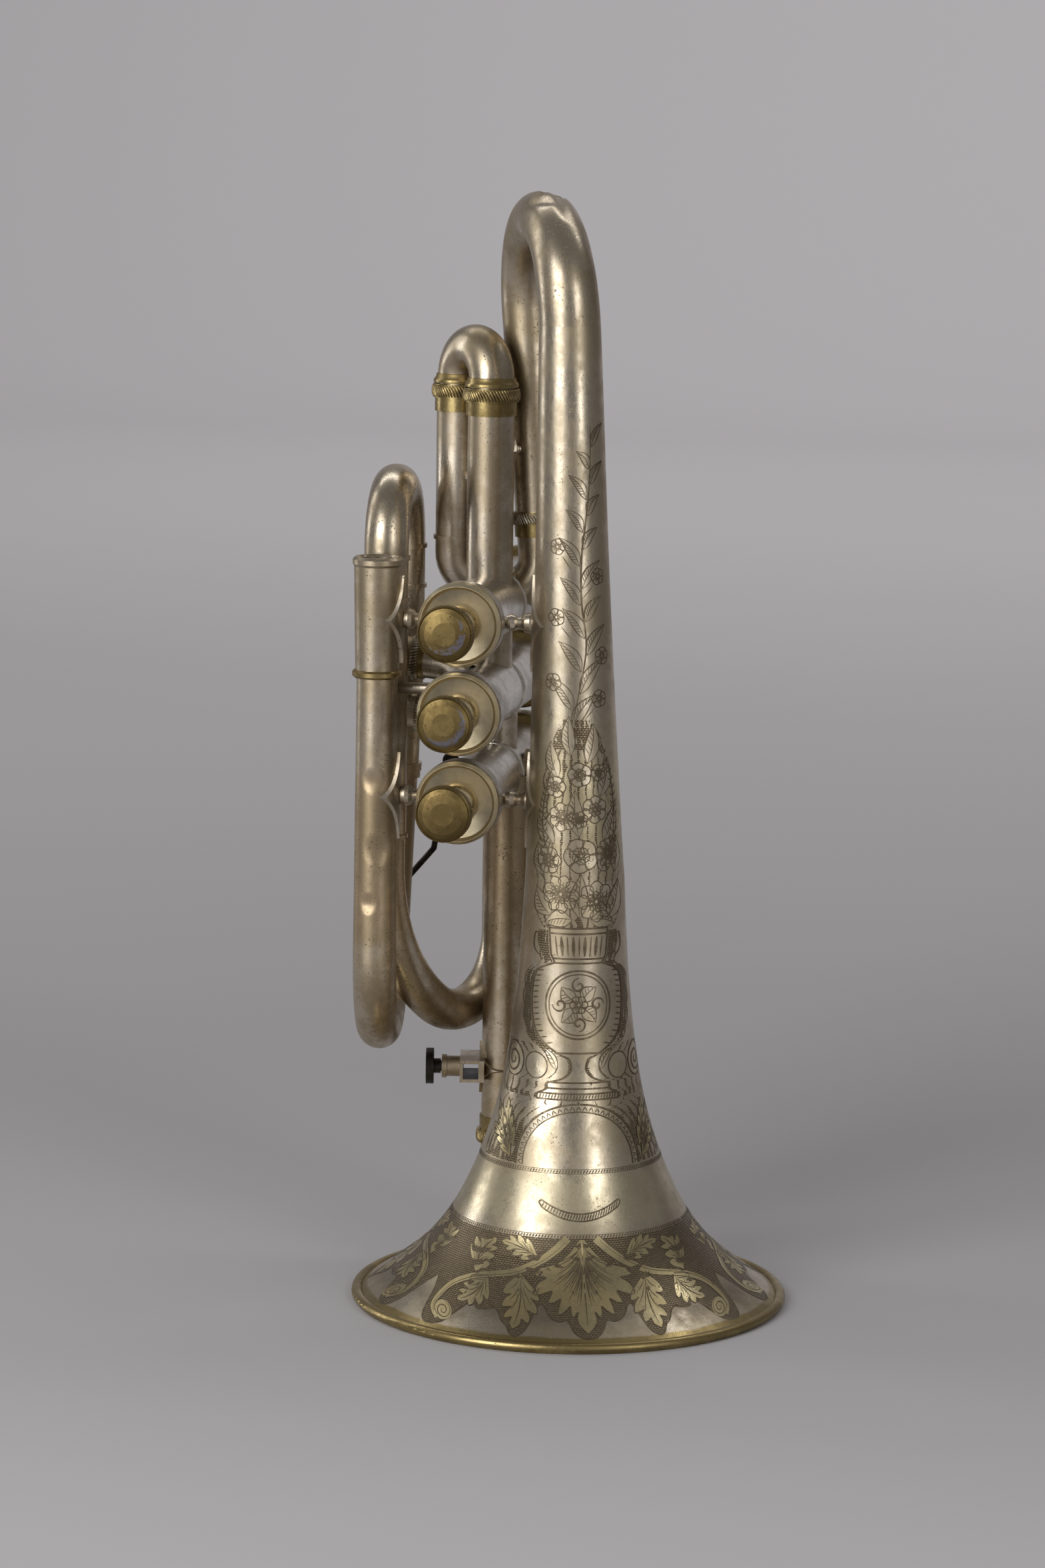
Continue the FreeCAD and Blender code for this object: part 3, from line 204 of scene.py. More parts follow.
def make_aged_finish():
    """Colour, roughness and height of a metal from its clean, dull and pitted states."""
    group, given, result = new_group(
        "Aged finish",
        (("Clean", "Color", rgb(0.6, 0.57, 0.5)), ("Dull", "Color", rgb(0.3, 0.25, 0.18)),
         ("Pit", "Color", rgb(0.05, 0.04, 0.03)), ("Cloud", "Float", 0.0), ("Stain", "Float", 0.0),
         ("Specks", "Float", 0.0), ("Grain", "Float", 0.5), ("Clean Roughness", "Float", 0.25),
         ("Dull Roughness", "Float", 0.42)),
        (("Color", "Color"), ("Roughness", "Float"), ("Height", "Float")))
    worn = blend_colors(group, given["Cloud"], given["Clean"], given["Dull"])
    brown = blend_colors(group, 0.45, given["Dull"], given["Pit"])
    stained = blend_colors(group, given["Stain"], worn, brown)
    pitted = blend_colors(group, calc(group, "MULTIPLY", given["Specks"], 0.6), stained, given["Pit"])
    join(group, pitted, result["Color"])
    change = calc(group, "SUBTRACT", given["Dull Roughness"], given["Clean Roughness"])
    base = calc(group, "MULTIPLY_ADD", given["Cloud"], change, given["Clean Roughness"])
    grained = calc(group, "MULTIPLY_ADD", calc(group, "SUBTRACT", given["Grain"], 0.5), 0.22, base)
    stained_rough = calc(group, "MULTIPLY_ADD", given["Stain"], 0.12, grained)
    rough = calc(group, "MULTIPLY_ADD", given["Specks"], 0.3, stained_rough)
    join(group, rough, result["Roughness"])
    low = calc(group, "MULTIPLY", given["Specks"], -0.6)
    join(group, calc(group, "MULTIPLY_ADD", given["Grain"], 0.25, low), result["Height"])
    return group


def make_band_mask():
    """1 between two heights of the part, with soft edges; heights are in metres."""
    group, given, result = new_group(
        "Height band", (("Low", "Float", 0.0), ("High", "Float", 0.1), ("Softness", "Float", 0.002)),
        (("Mask", "Float"),))
    place = object_place(group)
    height = add(group, "ShaderNodeSeparateXYZ", place).outputs["Z"]
    wobble = calc(group, "MULTIPLY", calc(group, "SUBTRACT", noise(group, place, 90.0, 4.0, 0.6), 0.5),
                  given["Softness"])
    height = calc(group, "MULTIPLY_ADD", wobble, 2.0, height)
    above = calc(group, "DIVIDE", calc(group, "SUBTRACT", height, given["Low"]), given["Softness"])
    below = calc(group, "DIVIDE", calc(group, "SUBTRACT", given["High"], height), given["Softness"])
    join(group, calc(group, "MULTIPLY", ramp(group, above, 0.0, 1.0), ramp(group, below, 0.0, 1.0)),
         result["Mask"])
    return group


CLOUD_SCALE, SPECK_SCALE, SPECK_SHARE = 45.0, 1900.0, 0.30
tarnish = make_tarnish()
aged_finish = make_aged_finish()
height_band = make_band_mask()


# Materials

def start_material(name, metallic):
    material = bpy.data.materials.new(name)
    material.use_nodes = True
    tree = material.node_tree
    shader = tree.nodes["Principled BSDF"]
    shader.inputs["Metallic"].default_value = metallic
    return material, tree, shader


def start_metal(name, cloud_scale, speck_share, speck_scale=SPECK_SCALE):
    """A bare metal with the tarnish that its finish is mixed from."""
    material, tree, shader = start_material(name, 1.0)
    wear = use_group(tree, tarnish, Cloud_Scale=cloud_scale, Speck_Scale=speck_scale, Speck_Share=speck_share)
    return material, tree, shader, {kind: wear[kind] for kind in ("Cloud", "Stain", "Specks", "Grain")}


def age(tree, wear, clean, dull, pit, rough, **changed):
    """Look of a metal with this wear; changed gives parts of the wear another value."""
    return use_group(tree, aged_finish, Clean=clean, Dull=dull, Pit=rgb(*pit), Clean_Roughness=rough[0],
                     Dull_Roughness=rough[1], **dict(wear, **changed))


def finish_surface(tree, shader, look, depth, height=None):
    """Colour, roughness and a bump of this depth in metres, from a look or from a height of its own."""
    bump = add(tree, "ShaderNodeBump", Height=look["Height"] if height is None else height, Distance=depth,
               Strength=1.0)
    join(tree, look["Color"], shader.inputs["Base Color"])
    join(tree, look["Roughness"], shader.inputs["Roughness"])
    tree.links.new(bump.outputs["Normal"], shader.inputs["Normal"])


def aged_metal(name, clean, dull, pit, rough, cloud_scale=CLOUD_SCALE, speck_share=SPECK_SHARE, bands=()):
    """Aged metal; each band is (low, high, softness, clean colour, strength) by height in millimetres."""
    material, tree, shader, wear = start_metal(name, cloud_scale, speck_share)
    clean_color, dull_color = rgb(*clean), rgb(*dull)
    for low, high, softness, color, strength in bands:
        mask = use_group(tree, height_band, Low=low * MM, High=high * MM, Softness=softness * MM)["Mask"]
        mask = calc(tree, "MULTIPLY", mask, strength)
        clean_color = blend_colors(tree, mask, clean_color, rgb(*color))
        dull_color = blend_colors(tree, mask, dull_color, rgb(*(0.66 * tone for tone in color)))
    look = age(tree, wear, clean_color, dull_color, pit, rough)
    finish_surface(tree, shader, look, 0.00007)
    return material


PIT = (0.07, 0.055, 0.04)
silver = aged_metal("silver_plate", (0.58, 0.515, 0.42), (0.38, 0.31, 0.215), PIT, (0.26, 0.42))
bell_silver = aged_metal(
    "silver_plate_bell", (0.56, 0.487, 0.378), (0.385, 0.32, 0.22), PIT, (0.26, 0.42), speck_share=0.26,
    bands=((-2.0, 3.6, 0.5, (0.37, 0.282, 0.125), 1.0), (4.0, 12.0, 5.0, (0.34, 0.29, 0.22), 0.9),
           (25.0, 42.0, 4.0, (0.63, 0.55, 0.38), 0.8), (112.0, 168.0, 30.0, (0.62, 0.53, 0.31), 0.6)))
bow_silver = aged_metal("silver_plate_bow", (0.54, 0.465, 0.36), (0.34, 0.275, 0.18), PIT, (0.26, 0.42),
                        cloud_scale=35.0, speck_share=0.32)
casing_silver = aged_metal("silver_casing", (0.70, 0.66, 0.60), (0.52, 0.475, 0.41), PIT, (0.22, 0.36))
gilt = aged_metal("gold_wash", (0.37, 0.285, 0.13), (0.23, 0.17, 0.07), (0.08, 0.06, 0.03), (0.26, 0.42),
                  cloud_scale=160.0)
knurl_gold = aged_metal("gold_wash_knurls", (0.48, 0.38, 0.19), (0.20, 0.15, 0.07), (0.04, 0.03, 0.02),
                        (0.30, 0.50), cloud_scale=500.0)
knurl_silver = aged_metal("silver_knurls", (0.50, 0.45, 0.37), (0.22, 0.18, 0.13), (0.04, 0.03, 0.02),
                          (0.30, 0.50), cloud_scale=500.0)
black_steel = aged_metal("black_steel", (0.06, 0.055, 0.05), (0.03, 0.026, 0.022), (0.09, 0.06, 0.04),
                         (0.35, 0.55), cloud_scale=200.0)
spring_steel = aged_metal("spring_steel", (0.42, 0.41, 0.39), (0.25, 0.23, 0.20), PIT, (0.28, 0.4))
cut_line = aged_metal("engraved_line", (0.20, 0.16, 0.105), (0.13, 0.10, 0.065), (0.05, 0.04, 0.03),
                      (0.40, 0.55), cloud_scale=300.0)
leaf_gold = aged_metal("engraved_leaf", (0.56, 0.475, 0.28), (0.46, 0.375, 0.20), (0.10, 0.08, 0.05),
                       (0.26, 0.40), cloud_scale=90.0, speck_share=0.22)
petal_silver = aged_metal("engraved_petal", (0.62, 0.545, 0.42), (0.46, 0.385, 0.26), PIT, (0.25, 0.38),
                          speck_share=0.2)


LEADPIPE_DENTS = (((-0.0548, -0.0074, 0.143), 0.0042), ((-0.0536, -0.0072, 0.124), 0.0050),
                  ((-0.0560, -0.0070, 0.109), 0.0036))


def make_worn_silver():
    """Plate worn to a coppery tone along the middle of the tubes, with three shallow dents."""
    material, tree, shader, wear = start_metal("silver_plate_worn", 38.0, 0.36)
    mask = use_group(tree, height_band, Low=0.092, High=0.152, Softness=0.016)["Mask"]
    clean = blend_colors(tree, calc(tree, "MULTIPLY", mask, 0.75), rgb(0.565, 0.485, 0.37),
                         rgb(0.53, 0.385, 0.23))
    look = age(tree, wear, clean, rgb(0.34, 0.265, 0.165), PIT, (0.26, 0.44))
    place = object_place(tree)
    height = calc(tree, "MULTIPLY", look["Height"], 0.05)
    for centre, reach in LEADPIPE_DENTS:
        away = add(tree, "ShaderNodeVectorMath", place, centre, settings={"operation": "DISTANCE"}).outputs[1]
        height = calc(tree, "ADD", height, ramp(tree, away, 0.0, reach, -1.0, 0.0))
    finish_surface(tree, shader, look, 0.0005, height)
    return material


def make_cap_metal():
    """Pale gold on the cap's dished face, silver on its skirt."""
    material, tree, shader, wear = start_metal("valve_cap", 80.0, 0.2)
    place = object_place(tree)
    along = add(tree, "ShaderNodeSeparateXYZ", place).outputs["Y"]
    face = ramp(tree, along, -0.0084, -0.0080, 1.0, 0.0)
    clean = blend_colors(tree, face, rgb(0.60, 0.57, 0.52), rgb(0.62, 0.54, 0.37))
    dull = blend_colors(tree, face, rgb(0.42, 0.38, 0.32), rgb(0.50, 0.41, 0.25))
    look = age(tree, wear, clean, dull, (0.14, 0.11, 0.06), (0.32, 0.44))
    finish_surface(tree, shader, look, 0.00004)
    return material


def make_button_brass():
    """Brown brass, with a grey crescent worn by the finger on the first two buttons."""
    material, tree, shader, wear = start_metal("button_brass", 120.0, 0.34, 2300.0)
    place = object_place(tree)
    flat = add(tree, "ShaderNodeVectorMath", place, (1.0, 0.0, 1.0),
               settings={"operation": "MULTIPLY"}).outputs[0]
    worn = 0.0
    for height, reach in ((VALVE_Z[0], 0.00575), (VALVE_Z[1], 0.0061)):
        away = [add(tree, "ShaderNodeVectorMath", flat, (x * MM, 0.0, z * MM),
                    settings={"operation": "DISTANCE"}).outputs[1]
                for x, z in ((VALVE_X, height), (VALVE_X - 1.3, height + 1.5))]
        inside = ramp(tree, away[0], reach - 0.0003, reach, 1.0, 0.0)
        outside = ramp(tree, away[1], reach - 0.0006, reach + 0.0002, 0.0, 1.0)
        worn = calc(tree, "MAXIMUM", worn, calc(tree, "MULTIPLY", inside, outside))
    ragged = ramp(tree, noise(tree, place, 900.0, 4.0, 0.6), 0.40, 0.52)
    worn = calc(tree, "MULTIPLY", worn, ragged)
    clean = blend_colors(tree, worn, rgb(0.19, 0.137, 0.054), rgb(0.17, 0.16, 0.18))
    look = age(tree, wear, clean, rgb(0.128, 0.09, 0.036), (0.04, 0.03, 0.015), (0.38, 0.48), Stain=0.0,
               Cloud=calc(tree, "MULTIPLY", wear["Cloud"], calc(tree, "SUBTRACT", 1.0, worn)))
    finish_surface(tree, shader, look, 0.00005)
    return material


def make_socket_silver_with_painted_shade():
    """Silver of the lyre holder, with painted shade: near black inside its square socket."""
    material, tree, shader, wear = start_metal("silver_lyre_holder_painted_shade", CLOUD_SCALE, SPECK_SHARE)
    place = object_place(tree)
    turned = add(tree, "ShaderNodeMapping", place, SOCKET_FACE, (0.0, 0.0, SOCKET_TURN),
                 settings={"vector_type": "TEXTURE"}).outputs[0]
    depth = add(tree, "ShaderNodeSeparateXYZ", turned).outputs
    inside = ramp(tree, depth["Y"], 0.0001, 0.0006)
    for axis in ("X", "Z"):
        off = calc(tree, "ABSOLUTE", depth[axis])
        inside = calc(tree, "MULTIPLY", inside, ramp(tree, off, 0.00228, 0.00234, 1.0, 0.0))
    # Painted shade: the socket's inside is near black in both the clean and the dull colour, and gets no
    # specks.
    clean = blend_colors(tree, inside, rgb(0.58, 0.515, 0.42), rgb(0.012, 0.010, 0.008))
    dull = blend_colors(tree, inside, rgb(0.38, 0.31, 0.215), rgb(0.010, 0.008, 0.006))
    look = age(tree, wear, clean, dull, PIT, (0.30, 0.44),
               Specks=calc(tree, "MULTIPLY", wear["Specks"], calc(tree, "SUBTRACT", 1.0, inside)))
    finish_surface(tree, shader, look, 0.00005)
    return material


def soft_material(name, light, dark, scale, depth):
    """Cork or felt: mottled colour with a rough, pitted surface."""
    material, tree, shader = start_material(name, 0.0)
    place = object_place(tree)
    grains = noise(tree, place, scale, 5.0, 0.7)
    color = blend_colors(tree, ramp(tree, grains, 0.35, 0.65), rgb(*dark), rgb(*light))
    rough = ramp(tree, grains, 0.2, 0.8, 0.8, 0.95)
    finish_surface(tree, shader, {"Color": color, "Roughness": rough, "Height": grains}, depth)
    return material


button_brass = make_button_brass()
socket_silver_painted_shade = make_socket_silver_with_painted_shade()
worn_silver = make_worn_silver()
cap_gold = make_cap_metal()
cork = soft_material("cork", (0.42, 0.28, 0.16), (0.20, 0.12, 0.07), 1800.0, 0.0002)
felt = soft_material("felt", (0.10, 0.06, 0.05), (0.04, 0.02, 0.02), 2600.0, 0.0003)


def make_stippled_ground():
    """Cut-down ground of the ornament: rows of short bright ticks on dark metal."""
    material, tree, shader, wear = start_metal("stippled_ground", 60.0, 0.25)
    rows = tree.nodes.new("ShaderNodeUVMap").outputs["UV"]
    ticks = add(tree, "ShaderNodeTexBrick", rows, rgb(0.34, 0.275, 0.18), rgb(0.25, 0.195, 0.12),
                rgb(0.075, 0.055, 0.032), settings={"offset": 0.5, "squash": 1.0},
                Scale=1.0, Mortar_Size=0.13, Mortar_Smooth=0.5, Brick_Width=0.95, Row_Height=0.62)
    look = age(tree, wear, ticks.outputs["Color"], rgb(0.16, 0.13, 0.09), PIT, (0.36, 0.5), Stain=0.0,
               Cloud=calc(tree, "MULTIPLY", wear["Cloud"], 0.5))
    height = calc(tree, "SUBTRACT", look["Height"], ticks.outputs["Fac"])
    finish_surface(tree, shader, look, 0.00006, height)
    return material


stippled = make_stippled_ground()


# Finishes of the part's own pieces

FINISH_BY_NAME = {
    "bell": bell_silver, "bell_stem": bell_silver, "bell_bow": bow_silver, "first_slide": bow_silver,
    "main_slide": bow_silver, "mouthpiece_receiver": bow_silver, "return_tube": bow_silver,
    "leadpipe": worn_silver, "downpipe": worn_silver, "riser_sleeve": worn_silver, "valve_loop": worn_silver,
    "third_slide": worn_silver, "third_slide_sleeves": worn_silver, "lyre_holder": socket_silver_painted_shade,
    "lyre_screw": black_steel, "water_key_lever": black_steel, "water_key_pin": spring_steel}
FINISH_BY_ENDING = {
    "top_cap": cap_gold, "bottom_cap": gilt, "ferrule": gilt, "ferrules": gilt, "receiver_ring": gilt,
    "button": button_brass, "casing": casing_silver, "spring": spring_steel, "cork": cork, "felt": felt}


def finish_of(node):
    """The finish set for a node's name, else for its ending, else plain silver."""
    endings = (FINISH_BY_ENDING[ending] for ending in FINISH_BY_ENDING if node.endswith(ending))
    return FINISH_BY_NAME.get(node) or next(endings, silver)


for node_name, node_object in frame["nodes"].items():
    node_object.data.materials.clear()
    node_object.data.materials.append(finish_of(node_name))


# Mesh helpers

def add_piece(name, mesh, body):
    """A piece whose mesh is already in its place and has its material."""
    mesh.name = name
    piece = bpy.data.objects.new(name, mesh)
    bpy.context.scene.collection.objects.link(piece)
    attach(piece, body)
    return piece


def mesh_piece(name, points, faces, material, body, uv=None):
    """A piece from points in millimetres."""
    mesh = bpy.data.meshes.new(name)
    mesh.from_pydata([tuple(value * MM for value in point) for point in points], [], faces)
    mesh.polygons.foreach_set("use_smooth", [True] * len(mesh.polygons))
    if uv is not None:
        layer = mesh.uv_layers.new(name="ornament")
        for loop in mesh.loops:
            layer.data[loop.index].uv = uv[loop.vertex_index]
    mesh.materials.append(material)
    mesh.update()
    return add_piece(name, mesh, body)


def start_shape_tree(name, inputs):
    """Tree that makes one shape; inputs are (name, kind, default)."""
    tree = bpy.data.node_groups.new(name, "GeometryNodeTree")
    for label, kind, default in inputs:
        socket = tree.interface.new_socket(label, in_out="INPUT", socket_type="NodeSocket" + kind)
        socket.default_value = default
    tree.interface.new_socket("Finish", in_out="INPUT", socket_type="NodeSocketMaterial")
    tree.interface.new_socket("Geometry", in_out="OUTPUT", socket_type="NodeSocketGeometry")
    return tree, tree.nodes.new("NodeGroupInput").outputs


def end_shape_tree(tree, shape, finish):
    solid = add(tree, "GeometryNodeRealizeInstances", shape)
    painted = add(tree, "GeometryNodeSetMaterial", Geometry=solid.outputs[0], Material=finish)
    join(tree, painted.outputs[0], tree.nodes.new("NodeGroupOutput").inputs[0])
    return tree


# Ridged bands

def make_band_tree():
    """Rows of slanted ridges round a ring, standing on the XY plane's origin."""
    tree, given = start_shape_tree(
        "Ridged band", (("Radius", "Float", 0.007), ("Ridges", "Int", 50), ("Length", "Float", 0.003),
                        ("Thickness", "Float", 0.0008), ("Height", "Float", 0.0008), ("Slant", "Float", 0.4)))
    circle = add(tree, "GeometryNodeMeshCircle", given["Ridges"], given["Radius"])
    index = tree.nodes.new("GeometryNodeInputIndex").outputs[0]
    turn = calc(tree, "MULTIPLY", calc(tree, "DIVIDE", index, given["Ridges"]), math.tau)
    rotation = add(tree, "ShaderNodeCombineXYZ", given["Slant"], 0.0, turn).outputs[0]
    size = add(tree, "ShaderNodeCombineXYZ", given["Height"], given["Thickness"], given["Length"]).outputs[0]
    ridge = add(tree, "GeometryNodeMeshUVSphere", 8, 6, 0.5)
    rounded = add(tree, "GeometryNodeSetShadeSmooth", ridge.outputs[0])
    spread = add(tree, "GeometryNodeInstanceOnPoints", Points=circle.outputs[0], Instance=rounded.outputs[0],
                 Rotation=rotation, Scale=size)
    return end_shape_tree(tree, spread.outputs[0], given["Finish"])


band_tree = make_band_tree()


def tree_mesh(tree, values):
    """Plain mesh of one shape, made with the tree's named inputs."""
    holder = bpy.data.objects.new("holder", bpy.data.meshes.new("holder"))
    bpy.context.scene.collection.objects.link(holder)
    modifier = holder.modifiers.new("shape", "NODES")
    modifier.node_group = tree
    for item in tree.interface.items_tree:
        if item.in_out == "INPUT" and item.name in values:
            modifier[item.identifier] = values[item.name]
    evaluated = holder.evaluated_get(bpy.context.evaluated_depsgraph_get())
    mesh = bpy.data.meshes.new_from_object(evaluated)
    bpy.data.objects.remove(holder)
    return mesh


def ridged_band(name, centre, axis, radius, length, body, material, ridges=None, height=0.9,
                slant=0.42):
    """A knurled band: centre and axis in the part's frame, sizes in millimetres."""
    if ridges is None:
        ridges = round(math.tau * radius / RIDGE_PITCH)
    mesh = tree_mesh(band_tree, {"Radius": radius * MM, "Ridges": ridges, "Length": length * MM,
                                 "Thickness": math.tau * radius / ridges * 0.98 * MM, "Height": height * MM,
                                 "Slant": slant, "Finish": material})
    spin = Vector(axis).normalized().to_track_quat("Z", "Y").to_matrix().to_4x4()
    mesh.transform(Matrix.Translation(Vector(centre) * MM) @ spin)
    return add_piece(name, mesh, body)


def turned_ring(name, profile, centre, axis, body, material):
    """A closed ring turned from (radius, along) points, outer side first to last, in millimetres."""
    steps = 64
    spin = Vector(axis).normalized().to_track_quat("Z", "Y").to_matrix()
    points, faces = [], []
    for step in range(steps):
        angle = math.tau * step / steps
        for radius, along in profile:
            points.append(spin @ Vector((radius * math.cos(angle), radius * math.sin(angle), along))
                          + Vector(centre))
    count = len(profile)
    for step in range(steps):
        ahead = (step + 1) % steps
        for row in range(count):
            after = (row + 1) % count
            faces.append((step * count + row, ahead * count + row, ahead * count + after,
                          step * count + after))
    piece = mesh_piece(name, points, faces, material, body)
    piece.data.set_sharp_from_angle(angle=SHARP_ANGLE)
    return piece


BOW_CREASES = (((-6.5, 6.0), (-13.5, 27.0), 2.8, 1.2), ((-12.0, 20.0), (-20.5, 30.0), 3.2, 1.5),
               ((-9.0, 24.0), (-15.5, 17.0), 2.6, 1.1), ((-15.0, 33.0), (-22.0, 39.0), 3.0, 1.0),
               ((-17.0, 14.0), (-11.0, 10.0), 2.4, 1.0))


def crease_bow():
    """The bell bow's own mesh, with the folds that a fall has left along its crest."""
    mesh = frame["nodes"]["bell_bow"].data.copy()
    shape = bmesh.new()
    shape.from_mesh(mesh)
    bmesh.ops.remove_doubles(shape, verts=shape.verts, dist=0.000001)
    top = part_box("bell_bow")[1][2] / MM
    for vertex in shape.verts:
        x, y, z = vertex.co / MM
        if z < top - CREASED_HEIGHT:
            continue
        sink = 0.0
        for (ax, ay), (bx, by), reach, depth in BOW_CREASES:
            length = math.hypot(bx - ax, by - ay)
            along = min(max(((x - ax) * (bx - ax) + (y - ay) * (by - ay)) / length ** 2, 0.0), 1.0)
            away = math.hypot(x - ax - along * (bx - ax), y - ay - along * (by - ay))
            if away < reach:
                fold = depth * (0.5 + 0.5 * math.cos(math.pi * away / reach))
                sink += fold * (0.4 + 0.6 * math.sin(math.pi * along))
        share = min(max((z - (top - CREASED_HEIGHT)) / 5.0, 0.0), 1.0)
        vertex.co.z -= sink * share * MM
    for face in shape.faces:
        face.smooth = True
    for edge in shape.edges:
        edge.smooth = len(edge.link_faces) == 2 and edge.calc_face_angle(0.0) < SHARP_ANGLE
    shape.to_mesh(mesh)
    shape.free()
    mesh.materials.clear()
    mesh.materials.append(bow_silver)
    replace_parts(add_piece("creased_bell_bow", mesh, "horn"), "bell_bow")


CROOK_COLLAR = ((7.45, 248.3), (7.55, 248.9), (7.35, 249.4), (6.85, 249.9), (6.75, 250.6), (6.55, 250.9),
                (6.31, 250.9), (6.31, 248.3))


def dress_ferrules():
    lean = (-math.sin(BOW_LEG_LEAN), 0.0, math.cos(BOW_LEG_LEAN))
    for name, x, y in (("a", -31.1, 33.5), ("b", -42.5, 46.5)):
        ridged_band("first_ferrule_knurl_" + name, (x, y, 246.1), (0, 0, 1), 7.45, 4.0, "horn",
                    knurl_gold, ridges=56, height=1.2, slant=0.5)
        turned_ring("first_crook_collar_" + name, CROOK_COLLAR, (x, y, 0.0), (0, 0, 1), "first_slide",
                    gilt)
    low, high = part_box("bow_ferrule")
    centre = (low + high) * 0.5 / MM + Vector(lean) * 1.7
    ridged_band("bow_ferrule_knurl", centre, lean, 7.2, 3.7, "horn", knurl_silver, height=1.0)
    for name, x, y in (("near", -26.8, 42.0), ("far", -12.2, 50.5)):
        ridged_band("third_ferrule_knurl_" + name, (x, y, 34.6), (0, 0, 1), 7.05, 3.9, "horn",
                    knurl_gold, height=1.2)
    out = Vector((-math.cos(SECOND_SLIDE_TILT), 0.0, math.sin(SECOND_SLIDE_TILT)))
    for name, y, z in (("near", 24.0, VALVE_Z[1] + 8.7), ("far", 32.0, VALVE_Z[1] - 7.3)):
        mouth = Vector((VALVE_X, y, z)) + out * (SECOND_SLEEVE_REACH / math.cos(SECOND_SLIDE_TILT))
        ridged_band("second_ferrule_knurl_" + name, mouth - out * 1.25, out, 6.15, 2.5, "horn",
                    knurl_silver, height=1.1)


def dress_valves():
    for number, z in enumerate(VALVE_Z, 1):
        for place, y, radius, length, ridges, height, slant in (
                ("cap", -8.6, 11.25, 2.0, 112, 0.55, 0.5), ("bottom", 86.6, 11.25, 3.4, 112, 0.5, 0.5),
                ("collar", -10.2, 4.6, 1.2, 48, 0.5, 0.3), ("button", -28.1, 7.45, 1.1, 78, 0.6, 0.3)):
            moving = place == "button"
            ridged_band("valve_%d_%s_knurl" % (number, place), (VALVE_X, y, z), (0, 1, 0), radius, length,
                        "plunger_%d" % number if moving else "horn",
                        knurl_gold, ridges, height, slant)


def make_coil_tree():
    """A coil spring that stands up from the origin."""
    tree, given = start_shape_tree(
        "Coil spring", (("Turns", "Float", 8.0), ("Radius", "Float", 0.006), ("Height", "Float", 0.02),
                        ("Wire", "Float", 0.0004)))
    coil = add(tree, "GeometryNodeCurveSpiral", Resolution=22, Rotations=given["Turns"],
               Start_Radius=given["Radius"], End_Radius=given["Radius"], Height=given["Height"])
    section = add(tree, "GeometryNodeCurvePrimitiveCircle", Resolution=8, Radius=given["Wire"])
    wire = tree.nodes.new("GeometryNodeCurveToMesh")
    join(tree, coil.outputs[0], wire.inputs["Curve"])
    join(tree, section.outputs[0], wire.inputs["Profile Curve"])
    wire.inputs["Fill Caps"].default_value = True
    smooth = add(tree, "GeometryNodeSetShadeSmooth", wire.outputs[0])
    return end_shape_tree(tree, smooth.outputs[0], given["Finish"])


def fit_springs():
    """A coil in place of each plain sleeve under a piston."""
    tree = make_coil_tree()
    for number in (1, 2, 3):
        node = "valve_%d_spring" % number
        low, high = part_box(node)
        length = high[1] - low[1]
        wire = SPRING_WIRE * MM
        mesh = tree_mesh(tree, {"Turns": SPRING_TURNS, "Radius": (high[0] - low[0]) / 2 - wire,
                                "Height": length - 2 * wire, "Wire": wire, "Finish": spring_steel})
        mesh.transform(Matrix.Translation(((low[0] + high[0]) / 2, low[1] + wire, (low[2] + high[2]) / 2))
                       @ Matrix.Rotation(-math.pi / 2, 4, "X"))
        piece = add_piece("valve_%d_coil_spring" % number, mesh, "horn")
        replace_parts(piece, node)
        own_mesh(piece)


crease_bow()
fit_springs()
dress_ferrules()
dress_valves()


# Engraving on the bell: drawings in millimetres across and up the wall, from its middle line

def wall_table():
    """Arc length, height and radius along the real outer wall of the bell."""
    knots = np.array(BELL_PROFILE)
    steps = np.concatenate(([0.0], np.cumsum(np.hypot(*np.diff(knots, axis=0).T))))
    dense = np.linspace(0.0, steps[-1], 900)
    tangents = np.gradient(knots, steps, axis=0)
    place = np.clip(np.searchsorted(steps, dense, side="right") - 1, 0, len(steps) - 2)
    span = (steps[1:] - steps[:-1])[place][:, None]
    share = ((dense - steps[place])[:, None]) / span
    start, end = knots[place], knots[place + 1]
    start_way, end_way = tangents[place] * span, tangents[place + 1] * span
    curve = ((2 * share ** 3 - 3 * share ** 2 + 1) * start + (share ** 3 - 2 * share ** 2 + share) * start_way
             + (3 * share ** 2 - 2 * share ** 3) * end + (share ** 3 - share ** 2) * end_way)
    return dense, curve


def bell_tree():
    """Ray-cast tree of the bell's own mesh, in millimetres."""
    points, faces = [], []
    for node in ("bell", "bell_stem"):
        mesh = frame["nodes"][node].data
        first = len(points)
        points += [vertex.co / MM for vertex in mesh.vertices]
        faces += [[first + index for index in face.vertices] for face in mesh.polygons]
    return BVHTree.FromPolygons(points, faces)


def measured_wall():
    """The wall table, corrected by rays that meet the bell's mesh from outside."""
    dense, curve = wall_table()
    ways = np.gradient(curve, axis=0)
    ways /= np.linalg.norm(ways, axis=1)[:, None]
    normals = np.stack([-ways[:, 1], ways[:, 0]], axis=1)
    cast = bell_tree()
    cosine, sine = math.cos(ENGRAVING_TURN), math.sin(ENGRAVING_TURN)
    for row, ((height, radius), (up, out)) in enumerate(zip(curve, normals)):
        away = Vector((out * cosine, out * sine, up))
        shift = lean_shift(height)
        origin = Vector((radius * cosine + shift, radius * sine, height)) + away * 3.0
        hit, _, _, distance = cast.ray_cast(origin, -away, 6.0)
        if hit is not None:
            curve[row] += normals[row] * (3.0 - distance)
    return dense, curve, normals


def lean_shift(height):
    return -np.maximum(height - STEM_FOOT_Z, 0.0) * math.tan(STEM_LEAN)


WALL_S, WALL, WALL_OUT = measured_wall()


def wall_radius(arc):
    return np.interp(arc, WALL_S, WALL[:, 1])


